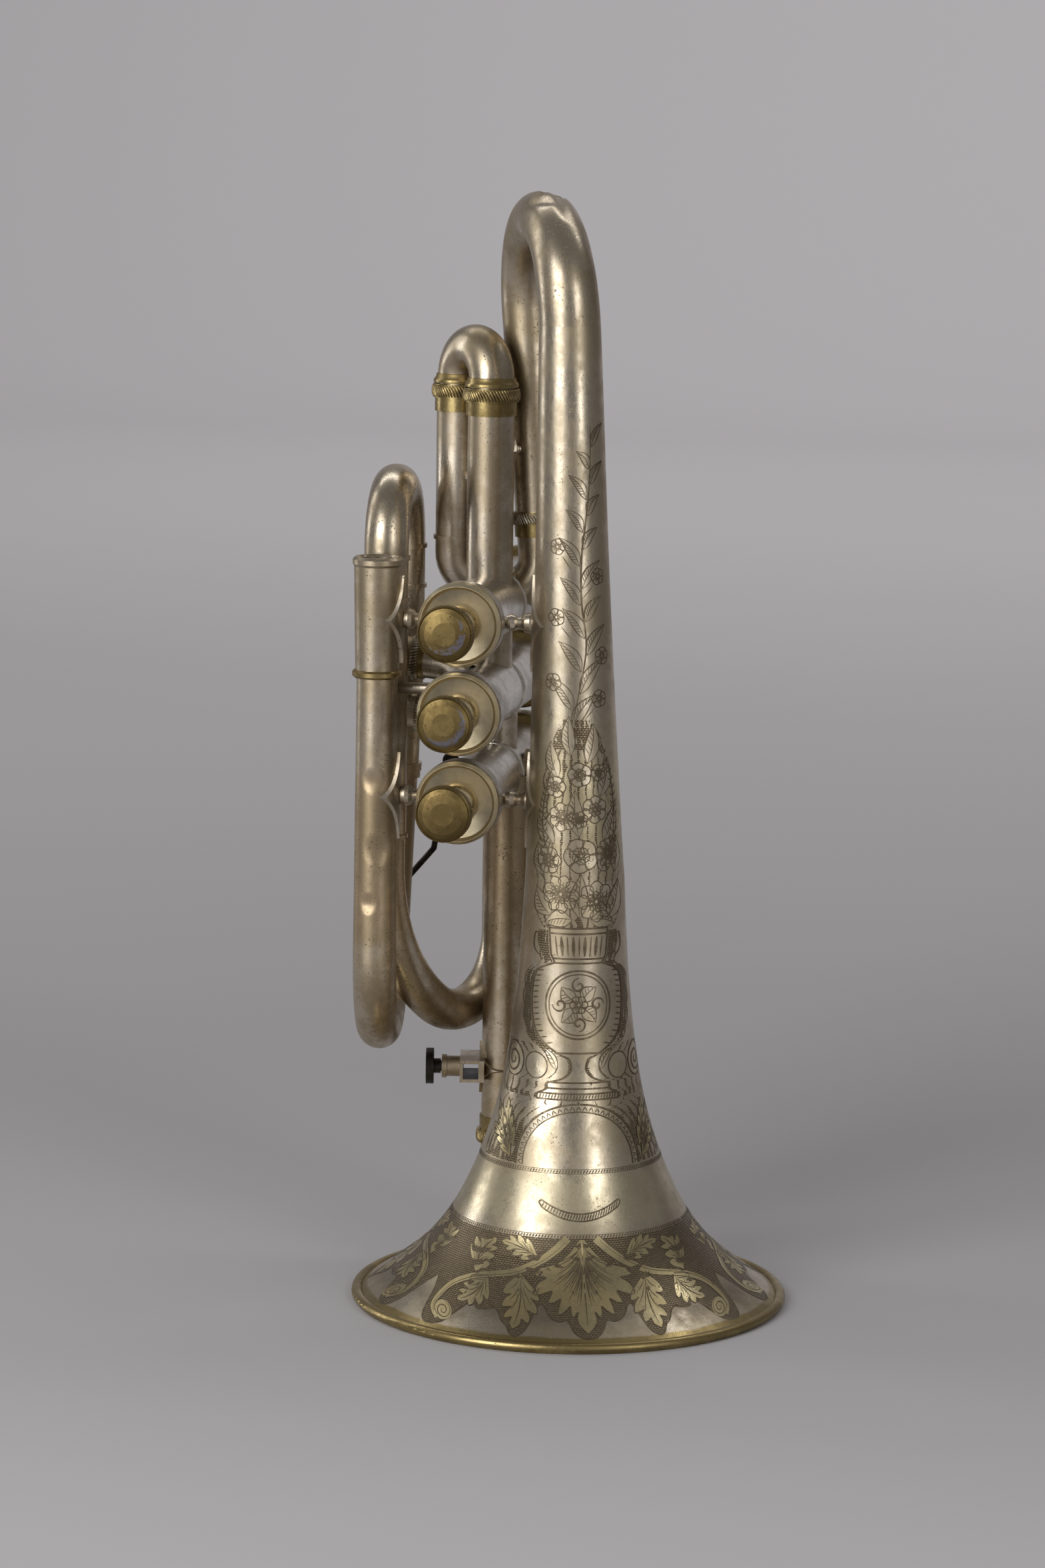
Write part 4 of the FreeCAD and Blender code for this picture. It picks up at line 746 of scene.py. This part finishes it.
def on_wall(drawing, lift, turn=0.0):
    """Points of the bell's outer wall for (across, up) drawing points, raised by a lift."""
    drawing = np.asarray(drawing, float)
    arc = drawing[:, 1]
    height = np.interp(arc, WALL_S, WALL[:, 0])
    radius = np.interp(arc, WALL_S, WALL[:, 1])
    out = np.interp(arc, WALL_S, WALL_OUT[:, 1])
    up = np.interp(arc, WALL_S, WALL_OUT[:, 0])
    angle = ENGRAVING_TURN + turn + drawing[:, 0] / radius
    far = radius + out * lift
    return np.stack([far * np.cos(angle) + lean_shift(height), far * np.sin(angle), height + up * lift],
                    axis=1)


def smooth_path(points, per_span):
    """Catmull-Rom curve through given points, with this many steps between each two."""
    points = [np.array(point, float) for point in points]
    if len(points) == 2:
        return np.linspace(points[0], points[1], per_span + 1)
    padded = [2 * points[0] - points[1]] + points + [2 * points[-1] - points[-2]]
    path = []
    for first, second, third, fourth in zip(padded, padded[1:], padded[2:], padded[3:]):
        for step in range(per_span):
            share = step / per_span
            path.append(0.5 * (2 * second + (third - first) * share
                               + (2 * first - 5 * second + 4 * third - fourth) * share ** 2
                               + (3 * second - first - 3 * third + fourth) * share ** 3))
    path.append(points[-1])
    return np.array(path)


def path_side(path):
    """Unit vectors to the left of a path."""
    way = np.gradient(path, axis=0)
    way /= np.maximum(np.linalg.norm(way, axis=1), 1e-6)[:, None]
    return np.stack([-way[:, 1], way[:, 0]], axis=1)


def circle(centre, radius, count, start=0.0, end=math.tau):
    angles = np.linspace(start, end, count)
    return np.asarray(centre, float) + radius * np.stack([np.cos(angles), np.sin(angles)], axis=1)


def mirrored(point, sign):
    return sign * point[0], point[1]


class Drawing:
    """Collects flat strokes and leaves, and lays them on the bell's wall."""

    def __init__(self, lift):
        self.lift = lift
        self.points = []
        self.faces = []
        self.uv = []

    def strip(self, left, right, turn=0.0, across=1):
        """Band between two edges of as many points."""
        left, right = np.asarray(left, float), np.asarray(right, float)
        rows = [left + (right - left) * (step / across) for step in range(across + 1)]
        first = len(self.points)
        count = len(left)
        for row in rows:
            self.points.extend(on_wall(row, self.lift, turn))
            self.uv.extend([tuple(point) for point in row])
        for lane in range(across):
            for step in range(count - 1):
                near = first + lane * count + step
                far = near + count
                self.faces.append((near, far, far + 1, near + 1))

    def stroke(self, points, width, taper, per_span, turn=0.0):
        """A cut line, widest in its middle if it tapers."""
        path = smooth_path(points, per_span)
        side = path_side(path)
        swell = 0.35 + 0.65 * np.sin(math.pi * np.linspace(0.0, 1.0, len(path)))
        half = CUT_WEIGHT * width / 2 * (swell if taper else np.ones(len(path)))
        self.strip(path - side * half[:, None], path + side * half[:, None], turn)

    def disc(self, rim, centre, turn=0.0):
        """Filled round shape."""
        self.strip(np.tile(np.array(centre, float), (len(rim), 1)), rim, turn, 2)

    def piece(self, name, material, uv=False):
        return mesh_piece(name, self.points, self.faces, material, "horn", self.uv if uv else None)


def leaf_edges(base, tip, width, bend, tooth):
    """Left and right edges and midrib of a leaf; bend bows its midrib to one side."""
    steps = 10
    base, tip = np.array(base, float), np.array(tip, float)
    way = tip - base
    side = np.array([-way[1], way[0]]) / max(np.linalg.norm(way), 1e-6)
    share = np.linspace(0.0, 1.0, steps + 1)[:, None]
    rib = base + way * share + side * bend * np.sin(math.pi * share)
    half = width / 2 * np.sin(math.pi * share ** 0.8) ** 0.9
    half = half * (1.0 + tooth * np.abs(np.sin(share * math.pi * 4.0)))
    return rib - side * half, rib, rib + side * half


def cut_leaf(lines, base, tip, width, bend=0.0, hatches=5, tooth=0.0, fills=None):
    """Leaf drawn with cut lines: outline, midrib and hatching on one half."""
    left, rib, right = leaf_edges(base, tip, width, bend, tooth)
    if fills is not None:
        fills.strip(left, right, across=4)
    for edge, weight in ((left, 0.20), (right, 0.26), (rib, 0.18)):
        lines.stroke(edge[::2], weight, True, 3)
    for number in range(hatches):
        share = 0.15 + 0.7 * (number + 0.5) / hatches
        place = share * (len(rib) - 1)
        low = int(place)
        start = rib[low] + (rib[low + 1] - rib[low]) * (place - low)
        ahead = min(low + 2, len(rib) - 1)
        lines.stroke([start, start + (right[ahead] - start) * 0.9], 0.16, True, 2)


def cut_flower(lines, centre, radius, petals, start=0.0, fills=None):
    """Open flower: round petals about a ring, each with a short vein."""
    centre = np.array(centre, float)
    if fills is not None:
        around = np.linspace(0.0, math.tau, petals * 6 + 1)
        reach = radius * (0.80 + 0.22 * np.abs(np.cos((around - start) * petals / 2)))
        fills.disc(centre + np.stack([reach * np.cos(around), reach * np.sin(around)], axis=1), centre)
    for number in range(petals):
        angle = start + math.tau * number / petals
        way = np.array([math.cos(angle), math.sin(angle)]) * radius
        side = np.array([-way[1], way[0]]) * math.sin(math.pi / petals) * 0.95
        lines.stroke([centre + way * 0.28, centre + way * 0.68 + side, centre + way + side * 0.35,
                      centre + way - side * 0.35, centre + way * 0.68 - side, centre + way * 0.28],
                     0.20, False, 3)
        lines.stroke([centre + way * 0.3, centre + way * 0.7], 0.16, True, 2)
    lines.stroke(circle(centre, radius * 0.22, 9), 0.20, False, 2)


def fern(lines, points, length, count):
    """Curved rib with a row of short fronds on both sides."""
    path = smooth_path(points, 12)
    lines.stroke(points, 0.26, True, 6)
    for number in range(count):
        share = 0.08 + 0.9 * number / count
        low = min(int(share * (len(path) - 1)), len(path) - 2)
        start = path[low]
        way = path[low + 1] - start
        way /= max(np.linalg.norm(way), 1e-6)
        reach = length * (1.0 - 0.75 * share)
        for sign in (-1.0, 1.0):
            side = np.array([-way[1], way[0]]) * sign
            lines.stroke([start, start + side * reach * 0.7 + way * reach * 0.35,
                          start + side * reach + way * reach * 0.95], 0.22, True, 3)


def scroll(lines, centre, radius, start, turns, width, sign=1.0, turn=0.0):
    """Spiral that winds in to its centre."""
    points = []
    for share in np.linspace(0.0, 1.0, 22):
        angle = start + sign * math.tau * turns * share
        reach = radius * (1.0 - 0.86 * share)
        points.append((centre[0] + reach * math.cos(angle), centre[1] + reach * math.sin(angle)))
    lines.stroke(points, width, True, 2, turn)


def engrave_vine(lines):
    stem = [(-2.2, 172.0), (0.6, 184.0), (2.6, 196.0), (1.4, 208.0), (1.6, 220.0), (3.2, 232.0), (4.3, 243.0),
            (4.5, 255.0)]
    lines.stroke(stem, 0.34, True, 8)
    path = smooth_path(stem, 8)
    picker = random.Random(11)
    for number, share in enumerate(np.linspace(0.03, 0.93, 17)):
        start = path[int(share * (len(path) - 1))]
        sign = -1.0 if number % 2 else 1.0
        reach = (10.0 - 4.2 * share) * picker.uniform(0.85, 1.15)
        tip = start + np.array([sign * reach * 0.72, reach * 0.95])
        cut_leaf(lines, start + np.array([sign * 0.4, 0.3]), tip, 3.5 - 1.3 * share, 0.9 * sign, 8)
    for across, up, radius in ((-6.8, 186.0, 2.3), (-5.6, 203.5, 2.3), (6.4, 214.5, 2.2), (7.6, 193.0, 2.3),
                               (-5.0, 222.5, 2.1), (6.4, 181.5, 2.3)):
        cut_flower(lines, (across, up), radius, 5, picker.uniform(0, 1))
        lines.stroke([(across * 0.75, up - 2.4), (across * 0.25, up - 6.0)], 0.18, True, 3)


def level_ground(ground, levels, inner, outer, rows=5):
    """Stippled ground between two edges given as half widths at each level, on both sides."""
    for sign in (-1.0, 1.0):
        near = np.stack([sign * np.asarray(inner, float), levels], axis=1)
        far = np.stack([sign * np.asarray(outer, float), levels], axis=1)
        ground.strip(*((near, far) if sign > 0 else (far, near)), 0.0, rows)


BOUQUET_LEAVES = (
    ((-8.0, 122.5), (-13.0, 130.0), 4.4, 1.0), ((8.5, 121.5), (12.6, 132.0), 4.6, -1.0),
    ((-2.0, 121.6), (-9.8, 120.4), 3.8, -0.8), ((3.0, 121.6), (10.6, 120.0), 3.8, 0.8),
    ((0.0, 122.0), (0.4, 134.0), 4.0, 0.4), ((-7.0, 142.0), (-12.0, 151.0), 4.0, 1.0),
    ((7.0, 143.0), (11.4, 152.5), 4.0, -1.0), ((0.0, 144.0), (-1.0, 157.0), 3.6, 0.6),
    ((6.0, 155.0), (8.8, 165.0), 3.6, -0.8), ((-5.6, 160.0), (-7.6, 170.0), 3.4, 0.8),
    ((2.4, 164.0), (4.4, 175.0), 3.4, -0.7), ((-2.0, 166.0), (-2.4, 177.0), 3.0, 0.5),
    ((-11.0, 133.0), (-12.4, 142.0), 3.4, 0.6), ((11.0, 134.0), (12.0, 144.0), 3.4, -0.6))
BOUQUET_FLOWERS = (
    (-5.2, 128.5, 5.0, 9), (4.8, 126.5, 5.4, 8), (0.4, 139.0, 4.6, 5), (-8.8, 137.5, 3.6, 6),
    (8.6, 139.5, 3.8, 10), (-4.4, 149.5, 3.8, 7), (4.6, 151.5, 3.6, 6), (0.4, 161.0, 3.2, 5),
    (-6.4, 157.6, 2.8, 5), (0.2, 148.8, 2.2, 6), (5.8, 161.5, 2.2, 5))


def engrave_bouquet(veins, ground, fills):
    picker = random.Random(5)
    levels = np.linspace(119.0, 176.0, 58)
    outer = np.interp(levels, (119.0, 124.0, 135.0, 150.0, 165.0, 176.0), (10.2, 12.6, 12.4, 11.0, 8.8, 3.4))
    outer = outer + 0.9 * np.abs(np.sin((levels - 119.0) * math.pi / 6.2))
    level_ground(ground, levels, np.zeros(58), outer)
    for base, tip, width, bend in BOUQUET_LEAVES:
        cut_leaf(veins, base, tip, width, bend, 6, tooth=0.25, fills=fills)
    for across, up, radius, petals in BOUQUET_FLOWERS:
        cut_flower(veins, (across, up), radius, petals, picker.uniform(0, 1), fills=fills)
        cut_flower(veins, (across, up), radius * 0.5, petals, picker.uniform(0, 1))
    fern(veins, [(-6.0, 134.0), (-10.4, 144.0), (-10.0, 154.0), (-6.4, 165.0)], 2.2, 16)
    fern(veins, [(5.0, 133.0), (10.8, 144.0), (10.8, 157.0), (6.6, 170.0)], 2.2, 18)


URN_SIDE = ((8.4, 119.0), (7.8, 112.0), (7.0, 109.6), (12.4, 107.0), (14.0, 99.0), (12.2, 90.4), (6.2, 85.4),
            (2.6, 83.8))
URN_FOOT = ((2.6, 83.8), (2.0, 80.6), (4.6, 78.2), (8.6, 77.0), (8.8, 75.4), (11.6, 74.0), (11.8, 72.6))


def engrave_urn(lines, veins, ground, fills):
    side, foot = smooth_path(URN_SIDE, 4), smooth_path(URN_FOOT, 4)
    levels = np.linspace(86.0, 118.4, 40)
    edge = np.interp(levels, side[::-1, 1], side[::-1, 0])
    scallops = 0.8 * np.abs(np.sin((levels - 86.0) * math.pi / 5.4))
    level_ground(ground, levels, edge + 0.5, edge + 3.4 + scallops, 2)
    levels = np.linspace(72.6, 87.0, 24)
    edge = np.where(levels < 83.8, np.interp(levels, foot[::-1, 1], foot[::-1, 0]),
                    np.interp(levels, side[::-1, 1], side[::-1, 0]))
    level_ground(ground, levels, edge + 0.3, 25.5 + 1.6 * np.sin((levels - 72.0) * math.pi / 7.4), 6)
    for sign in (-1.0, 1.0):
        for path in (side, foot):
            veins.stroke([mirrored(point, sign) for point in path[::2]], 0.32, False, 2)
        lines.stroke([(sign * 10.4, 110.6), (sign * 13.6, 113.4), (sign * 13.0, 117.5), (sign * 10.8, 116.2)],
                     0.34, True, 4)
        for across, up, radius in ((12.2, 81.4, 3.5), (21.2, 82.0, 4.6)):
            ring = circle((sign * across, up), radius, 19)
            fills.disc(ring, (sign * across, up))
            veins.stroke(ring, 0.24, False, 2)
        scroll(veins, (sign * 21.2, 82.0), 4.1, math.pi / 2, 1.9, 0.42, -sign)
        cut_leaf(veins, (sign * 6.0, 80.6), (sign * 9.8, 86.4), 2.2, sign * 0.6, 4, fills=fills)
        for number in range(14):
            level = 87.6 + number * 1.5
            inner = float(np.interp(level, side[::-1, 1], side[::-1, 0]))
            lines.stroke([(sign * (inner - 2.4), level + 0.4), (sign * (inner - 0.3), level)], 0.3, True, 2)
    for level, half in ((119.2, 8.6), (117.7, 8.4), (110.9, 7.4), (109.7, 7.2), (85.2, 6.6), (77.2, 8.8),
                        (75.6, 9.4), (74.2, 11.6), (72.6, 12.0)):
        veins.stroke([(-half, level), (0.0, level), (half, level)], 0.32, False, 8)
    for number in range(26):
        across = (number - 12.5) * 0.86
        veins.stroke([(across - 0.2, 72.8), (across + 0.2, 74.0)], 0.26, True, 2)
    for number in range(9):
        across = (number - 4) * 1.62
        lines.stroke([(across * 0.92, 111.6), (across * 1.02, 117.0)], 0.62 if number % 2 else 0.3, True, 4)
    for radius, width in ((9.3, 0.34), (8.3, 0.22)):
        lines.stroke(circle((0.0, URN_MIDDLE), radius, 25), width, False, 3)
    for number in range(4):
        angle = math.pi / 4 + number * math.pi / 2
        near, tip = ((reach * math.cos(angle), URN_MIDDLE + reach * math.sin(angle)) for reach in (1.2, 6.8))
        cut_leaf(lines, near, tip, 3.2, 0.5, 4, tooth=0.3)
        flat = number * math.pi / 2
        scroll(lines, (5.2 * math.cos(flat), URN_MIDDLE + 5.2 * math.sin(flat)), 2.1, flat, 1.2, 0.45)
    cut_flower(lines, (0.0, URN_MIDDLE), 2.4, 6)


TABLET_LEAVES = (((20.4, 55.6), (30.0, 63.0), 5.4, 1.4), ((19.4, 58.6), (22.4, 71.0), 5.0, -1.0),
                 ((21.4, 57.6), (28.6, 69.6), 4.6, 0.6))


def engrave_cartouche(lines, veins, ground, leaves):
    """Arched tablet, left bare inside its scalloped border, with leaves on both sides."""
    levels = np.linspace(54.4, 72.4, 26)
    arch = 18.6 * np.sqrt(np.clip(1.0 - ((levels - TABLET_FOOT) / 17.4) ** 2, 0.0, 1.0))
    outer = 33.0 - (levels - 54.4) * 0.36 + 1.5 * np.sin((levels - 54.4) * math.pi / 6.4)
    level_ground(ground, levels, arch, outer, 6)
    for radius, width in ((18.5, 0.34), (16.3, 0.24)):
        border = circle((0.0, 0.0), radius, 25, end=math.pi) * (1.0, 0.93) + (0.0, TABLET_FOOT)
        veins.stroke(border, width, False, 4)
    for number in range(31):
        angle = math.pi * (number + 0.5) / 31
        for offset in (-0.04, 0.04):
            lines.stroke([(16.6 * math.cos(angle + offset), TABLET_FOOT + 15.4 * math.sin(angle + offset)),
                          (17.9 * math.cos(angle), TABLET_FOOT + 16.7 * math.sin(angle))], 0.24, True, 2)
    for sign in (-1.0, 1.0):
        for near, tip, width, bend in TABLET_LEAVES:
            lobed_leaf(leaves, veins, mirrored(near, sign), mirrored(tip, sign), width, sign * bend, 0.0)


def rope_line(lines, arc, count):
    """Border of slanted ticks between two fine lines, all the way round."""
    tick = 0.9
    radius = float(wall_radius(arc))
    for level in (arc - tick * 0.62, arc + tick * 0.62):
        local = np.linspace(-math.pi, math.pi, 73) * float(wall_radius(level))
        lines.strip(np.stack([local, np.full(73, level - 0.09)], axis=1),
                    np.stack([local, np.full(73, level + 0.09)], axis=1))
    for number in range(count):
        across = (math.tau * (number + 0.5) / count - math.pi) * radius
        lines.stroke([(across - 0.28, arc - tick * 0.45), (across + 0.28, arc + tick * 0.45)], 0.30, True, 2)


def engrave_ribbon(lines):
    """Small hanging ribbon of rope on the plain band."""
    upper, lower = [], []
    for share in np.linspace(-1.0, 1.0, 15):
        sag = 3.6 * (1.0 - share ** 2)
        upper.append((share * 10.6, 44.4 - sag + 0.9))
        lower.append((share * 10.6, 44.4 - sag - 1.1))
    lines.stroke(upper, 0.28, False, 4)
    lines.stroke(lower, 0.28, False, 4)
    top, low = smooth_path(upper, 2), smooth_path(lower, 2)
    for near, far in zip(low[:-1], top[1:]):
        lines.stroke([near, far], 0.26, True, 2)
    for sign in (-1.0, 1.0):
        lines.stroke([(sign * 10.6, 45.3), (sign * 11.3, 44.6), (sign * 10.6, 43.3)], 0.3, False, 3)


GROUND_EDGE = ((0.0, 3.4), (2.6, 3.8), (4.6, 6.4), (5.6, 10.2), (8.4, 9.0), (11.6, 10.4), (13.4, 14.0),
               (15.6, 15.6), (17.2, 11.0), (18.0, 5.2), (20.0, 3.4), (23.0, 4.2), (24.4, 8.0), (27.0, 8.4),
               (28.6, 12.4), (32.0, 11.6), (35.6, 11.0), (38.6, 13.6), (41.4, 10.4), (43.4, 5.4), (47.0, 3.2),
               (51.0, 3.6), (53.8, 7.0), (55.0, 11.6), (57.6, 16.0), (60.0, 19.0))
PALMETTE_TURNS = (0.0, math.tau / 3, -math.tau / 3)


def ground_patch(ground, lines, turn):
    """Stippled ground with a scalloped lower edge, on both sides of a palmette."""
    degrees, levels = np.array(GROUND_EDGE).T
    dense = np.linspace(0.0, 60.0, 121)
    edge = np.interp(dense, degrees, levels)
    edge = np.convolve(np.pad(edge, 2, mode="edge"), np.array([1, 2, 3, 2, 1]) / 9.0, mode="valid")
    for sign in (-1.0, 1.0):
        low = np.stack([sign * np.radians(dense) * wall_radius(edge), edge], axis=1)
        rows = []
        for share in np.linspace(0.0, 1.0, 9):
            arc = edge + (GROUND_TOP - edge) * share
            rows.append(np.stack([sign * np.radians(dense) * wall_radius(arc), arc], axis=1))
        for near, far in zip(rows[:-1], rows[1:]):
            pair = (near, far) if sign > 0 else (far, near)
            ground.strip(pair[0], pair[1], turn)
        lines.stroke(low[::4], 0.34, False, 4, turn)


LEAF_EDGE = ((0.0, 0.05), (0.10, 0.34), (0.24, 0.80), (0.38, 1.0), (0.41, 0.78), (0.38, 0.52), (0.48, 0.84),
             (0.62, 0.96), (0.63, 0.72), (0.60, 0.42), (0.70, 0.64), (0.82, 0.68), (0.81, 0.44), (0.78, 0.26),
             (0.89, 0.28), (1.0, 0.0))
PALMETTE_EDGE = (
    (0.0, 0.06), (0.12, 0.24), (0.23, 0.49), (0.28, 0.79), (0.32, 1.0), (0.37, 0.90), (0.38, 0.72),
    (0.44, 0.88), (0.53, 0.98), (0.57, 0.97), (0.56, 0.84), (0.52, 0.63), (0.59, 0.68), (0.65, 0.72),
    (0.64, 0.59), (0.60, 0.47), (0.69, 0.52), (0.78, 0.54), (0.73, 0.39), (0.68, 0.30), (0.75, 0.30),
    (0.81, 0.26), (0.74, 0.16), (0.83, 0.19), (0.91, 0.14), (1.0, 0.0))


def lobed_leaf(leaves, veins, base, tip, width, bend, turn, edge=LEAF_EDGE, flutes=range(12, 50, 16)):
    """Bright acanthus leaf; its edge is in shares of its length and half width, flutes by edge point."""
    base, tip = np.array(base, float), np.array(tip, float)
    way = tip - base
    side = np.array([-way[1], way[0]]) / np.linalg.norm(way)
    outline = smooth_path(edge, 4)
    for sign in (-1.0, 1.0):
        rows = []
        for share in np.linspace(0.0, 1.0, 9):
            along = outline[:, :1] * share ** 0.8
            off = sign * width / 2 * outline[:, 1:] * share ** 1.8 + bend * np.sin(math.pi * along)
            rows.append(base + way * along + side * off)
        for near, far in zip(rows[:-1], rows[1:]):
            leaves.strip(*((near, far) if sign > 0 else (far, near)), turn)
        veins.stroke(rows[-1][::2], 0.18, False, 2, turn)
        for column in flutes:
            veins.stroke([row[column] for row in rows[2:-1:2]], 0.17, True, 3, turn)
    rib = np.linspace(0.08, 0.9, 6)[:, None]
    veins.stroke(base + way * rib + side * bend * np.sin(math.pi * rib), 0.24, True, 3, turn)


def stalk(leaves, veins, points, width, turn):
    """Bright band that follows a curve and narrows, edged with cut lines."""
    path = smooth_path(points, 7)
    side = path_side(path)
    half = (width / 2 * np.linspace(1.0, 0.6, len(path)))[:, None]
    leaves.strip(path - side * half, path + side * half, turn, 2)
    for edge in (path - side * half, path + side * half):
        veins.stroke(list(edge[::3]), 0.16, False, 3, turn)
    veins.stroke(list((path + side * half * 0.3)[2:-4:4]), 0.13, True, 3, turn)


def gold_boss(leaves, veins, centre, radius, turn, sign):
    """Round end of a scroll, with a spiral cut in it."""
    leaves.disc(circle(centre, radius, 25), centre, turn)
    scroll(veins, centre, radius * 0.92, math.pi / 2, 1.9, 0.24, sign, turn)


ARM_LEAVES = (((17.4, 24.2), (20.6, 5.6), 10.4, -1.2), ((12.0, 29.2), (22.8, 32.8), 6.6, 0.8),
              ((31.4, 22.6), (24.2, 33.4), 8.6, -1.8), ((27.0, 22.0), (37.4, 12.6), 8.4, -1.4))
ARM_PATH = ((3.8, 35.0), (7.0, 31.8), (11.0, 28.6), (15.4, 26.0), (20.0, 24.0), (26.0, 22.6), (32.6, 20.8),
            (39.6, 17.2), (44.6, 12.0), (46.0, 8.4), (44.0, 5.6))


def acanthus(leaves, veins, turn):
    """Palmette with leafy arms that end in scrolls."""
    for sign in (-1.0, 1.0):
        stalk(leaves, veins, [mirrored(point, sign) for point in ARM_PATH], 2.5, turn)
        for base, tip, width, bend in ARM_LEAVES:
            lobed_leaf(leaves, veins, mirrored(base, sign), mirrored(tip, sign), width, sign * bend, turn)
        gold_boss(leaves, veins, (sign * 42.0, 8.4), 3.1, turn, sign)
    lobed_leaf(leaves, veins, (0.0, 34.6), (0.0, 4.9), 28.0, 0.0, turn, PALMETTE_EDGE, range(3, 98, 5))


def engrave_bell():
    lines, ground = Drawing(0.03), Drawing(0.02)
    leaves, fills, veins = Drawing(0.05), Drawing(0.045), Drawing(0.07)
    engrave_vine(lines)
    engrave_bouquet(veins, ground, fills)
    engrave_urn(lines, veins, ground, fills)
    engrave_cartouche(lines, veins, ground, leaves)
    engrave_ribbon(lines)
    rope_line(lines, BAND_TOP, 190)
    rope_line(lines, BAND_FOOT, 240)
    for turn in PALMETTE_TURNS:
        ground_patch(ground, lines, turn)
        acanthus(leaves, veins, turn)
    lines.piece("bell_engraving", cut_line)
    ground.piece("bell_ground", stippled, uv=True)
    fills.piece("bell_petals", petal_silver)
    leaves.piece("bell_leaves", leaf_gold)
    veins.piece("bell_leaf_veins", cut_line)


engrave_bell()


# Room, lamps and camera

def make_room():
    """Pale floor that sweeps up into a backdrop far behind the part."""
    reach, floor_end, sweep, wall_top = 6.0, 2.7, 1.1, 4.0
    profile = [(-reach, 0.0), (floor_end, 0.0)]
    profile += [(floor_end + sweep * math.sin(a), sweep - sweep * math.cos(a))
                for a in np.linspace(0.1, math.pi / 2, 14)]
    profile.append((floor_end + sweep, wall_top))
    points = [(side, along, up) for along, up in profile for side in (-reach, reach)]
    faces = [(2 * row, 2 * row + 1, 2 * row + 3, 2 * row + 2) for row in range(len(profile) - 1)]
    mesh = bpy.data.meshes.new("floor")
    mesh.from_pydata(points, [], faces)
    mesh.polygons.foreach_set("use_smooth", [True] * len(faces))
    material, tree, shader = start_material("studio_paper_painted_light", 0.0)
    place = object_place(tree)
    tone = ramp(tree, noise(tree, place, 1.3, 2.0, 0.5), 0.3, 0.7, 0.0, 1.0)
    color = blend_colors(tree, tone, rgb(0.330, 0.320, 0.326), rgb(0.342, 0.331, 0.337))
    # Painted light: the paper is painted brighter in front of the part and again up the backdrop, darker
    # around the part, for how the light falls on it; the noise tone above is the paper's own mottling.
    along = add(tree, "ShaderNodeSeparateXYZ", place).outputs["Y"]
    color = blend_colors(tree, ramp(tree, along, -0.45, 0.30, 1.0, 0.0), color, rgb(0.535, 0.52, 0.53))
    color = blend_colors(tree, ramp(tree, along, 1.0, 3.0), color, rgb(0.60, 0.58, 0.595))
    join(tree, color, shader.inputs["Base Color"])
    shader.inputs["Roughness"].default_value = 0.85
    shader.inputs["Specular IOR Level"].default_value = 0.2
    mesh.materials.append(material)
    floor = bpy.data.objects.new("floor", mesh)
    bpy.context.scene.collection.objects.link(floor)


def softbox(name, place, aim, size, power):
    lamp = bpy.data.lights.new(name, "AREA")
    lamp.shape = "RECTANGLE"
    lamp.size, lamp.size_y = size
    lamp.energy = power
    holder = bpy.data.objects.new(name, lamp)
    holder.location = place
    holder.rotation_euler = (Vector(aim) - Vector(place)).to_track_quat("-Z", "Y").to_euler()
    bpy.context.scene.collection.objects.link(holder)


def make_light():
    softbox("left_softbox", (-0.72, -1.27, 0.70), (0.0, 0.0, 0.14), (0.85, 1.15), 17.0)
    softbox("right_softbox", (0.98, -1.00, 0.60), (0.0, 0.0, 0.14), (0.40, 1.00), 5.0)
    softbox("back_left_strip", (-1.25, 0.35, 0.55), (0.0, 0.0, 0.15), (0.25, 1.10), 3.0)
    softbox("backdrop_lamp", (0.0, 1.0, 1.9), (0.0, 3.0, 0.0), (3.0, 0.6), 42.0)
    world = bpy.data.worlds.new("studio")
    world.use_nodes = True
    background = world.node_tree.nodes["Background"]
    background.inputs["Color"].default_value = rgb(0.42, 0.415, 0.42)
    background.inputs["Strength"].default_value = 0.46
    bpy.context.scene.world = world


FOCAL_PIXELS, PHOTO_HEIGHT, CAMERA_DISTANCE = 7138.3, 2352.0, 1.2983


def make_camera():
    """The photograph's own viewpoint, for an image of 1568 by 2352."""
    around, down, roll = math.radians(10.163), math.radians(9.206), math.radians(0.818)
    back = Vector((math.sin(around) * math.cos(down), -math.cos(around) * math.cos(down), math.sin(down)))
    right = Vector((math.cos(around), math.sin(around), 0.0))
    up = back.cross(right)
    right, up = right * math.cos(roll) + up * math.sin(roll), up * math.cos(roll) - right * math.sin(roll)
    lens = bpy.data.cameras.new("photo_view")
    lens.sensor_fit = "VERTICAL"
    lens.sensor_height = 36.0
    lens.sensor_width = 24.0
    lens.lens = FOCAL_PIXELS / PHOTO_HEIGHT * lens.sensor_height
    lens.clip_start, lens.clip_end = 0.05, 20.0
    camera = bpy.data.objects.new("photo_view", lens)
    turn = Matrix((right, up, back)).transposed().to_4x4()
    target = Vector((-14.88, 0.0, 142.84)) * MM
    camera.matrix_world = Matrix.Translation(target + back * CAMERA_DISTANCE) @ turn
    bpy.context.scene.collection.objects.link(camera)
    bpy.context.scene.camera = camera


make_room()
make_light()
make_camera()
bpy.context.scene.view_settings.view_transform = "Standard"
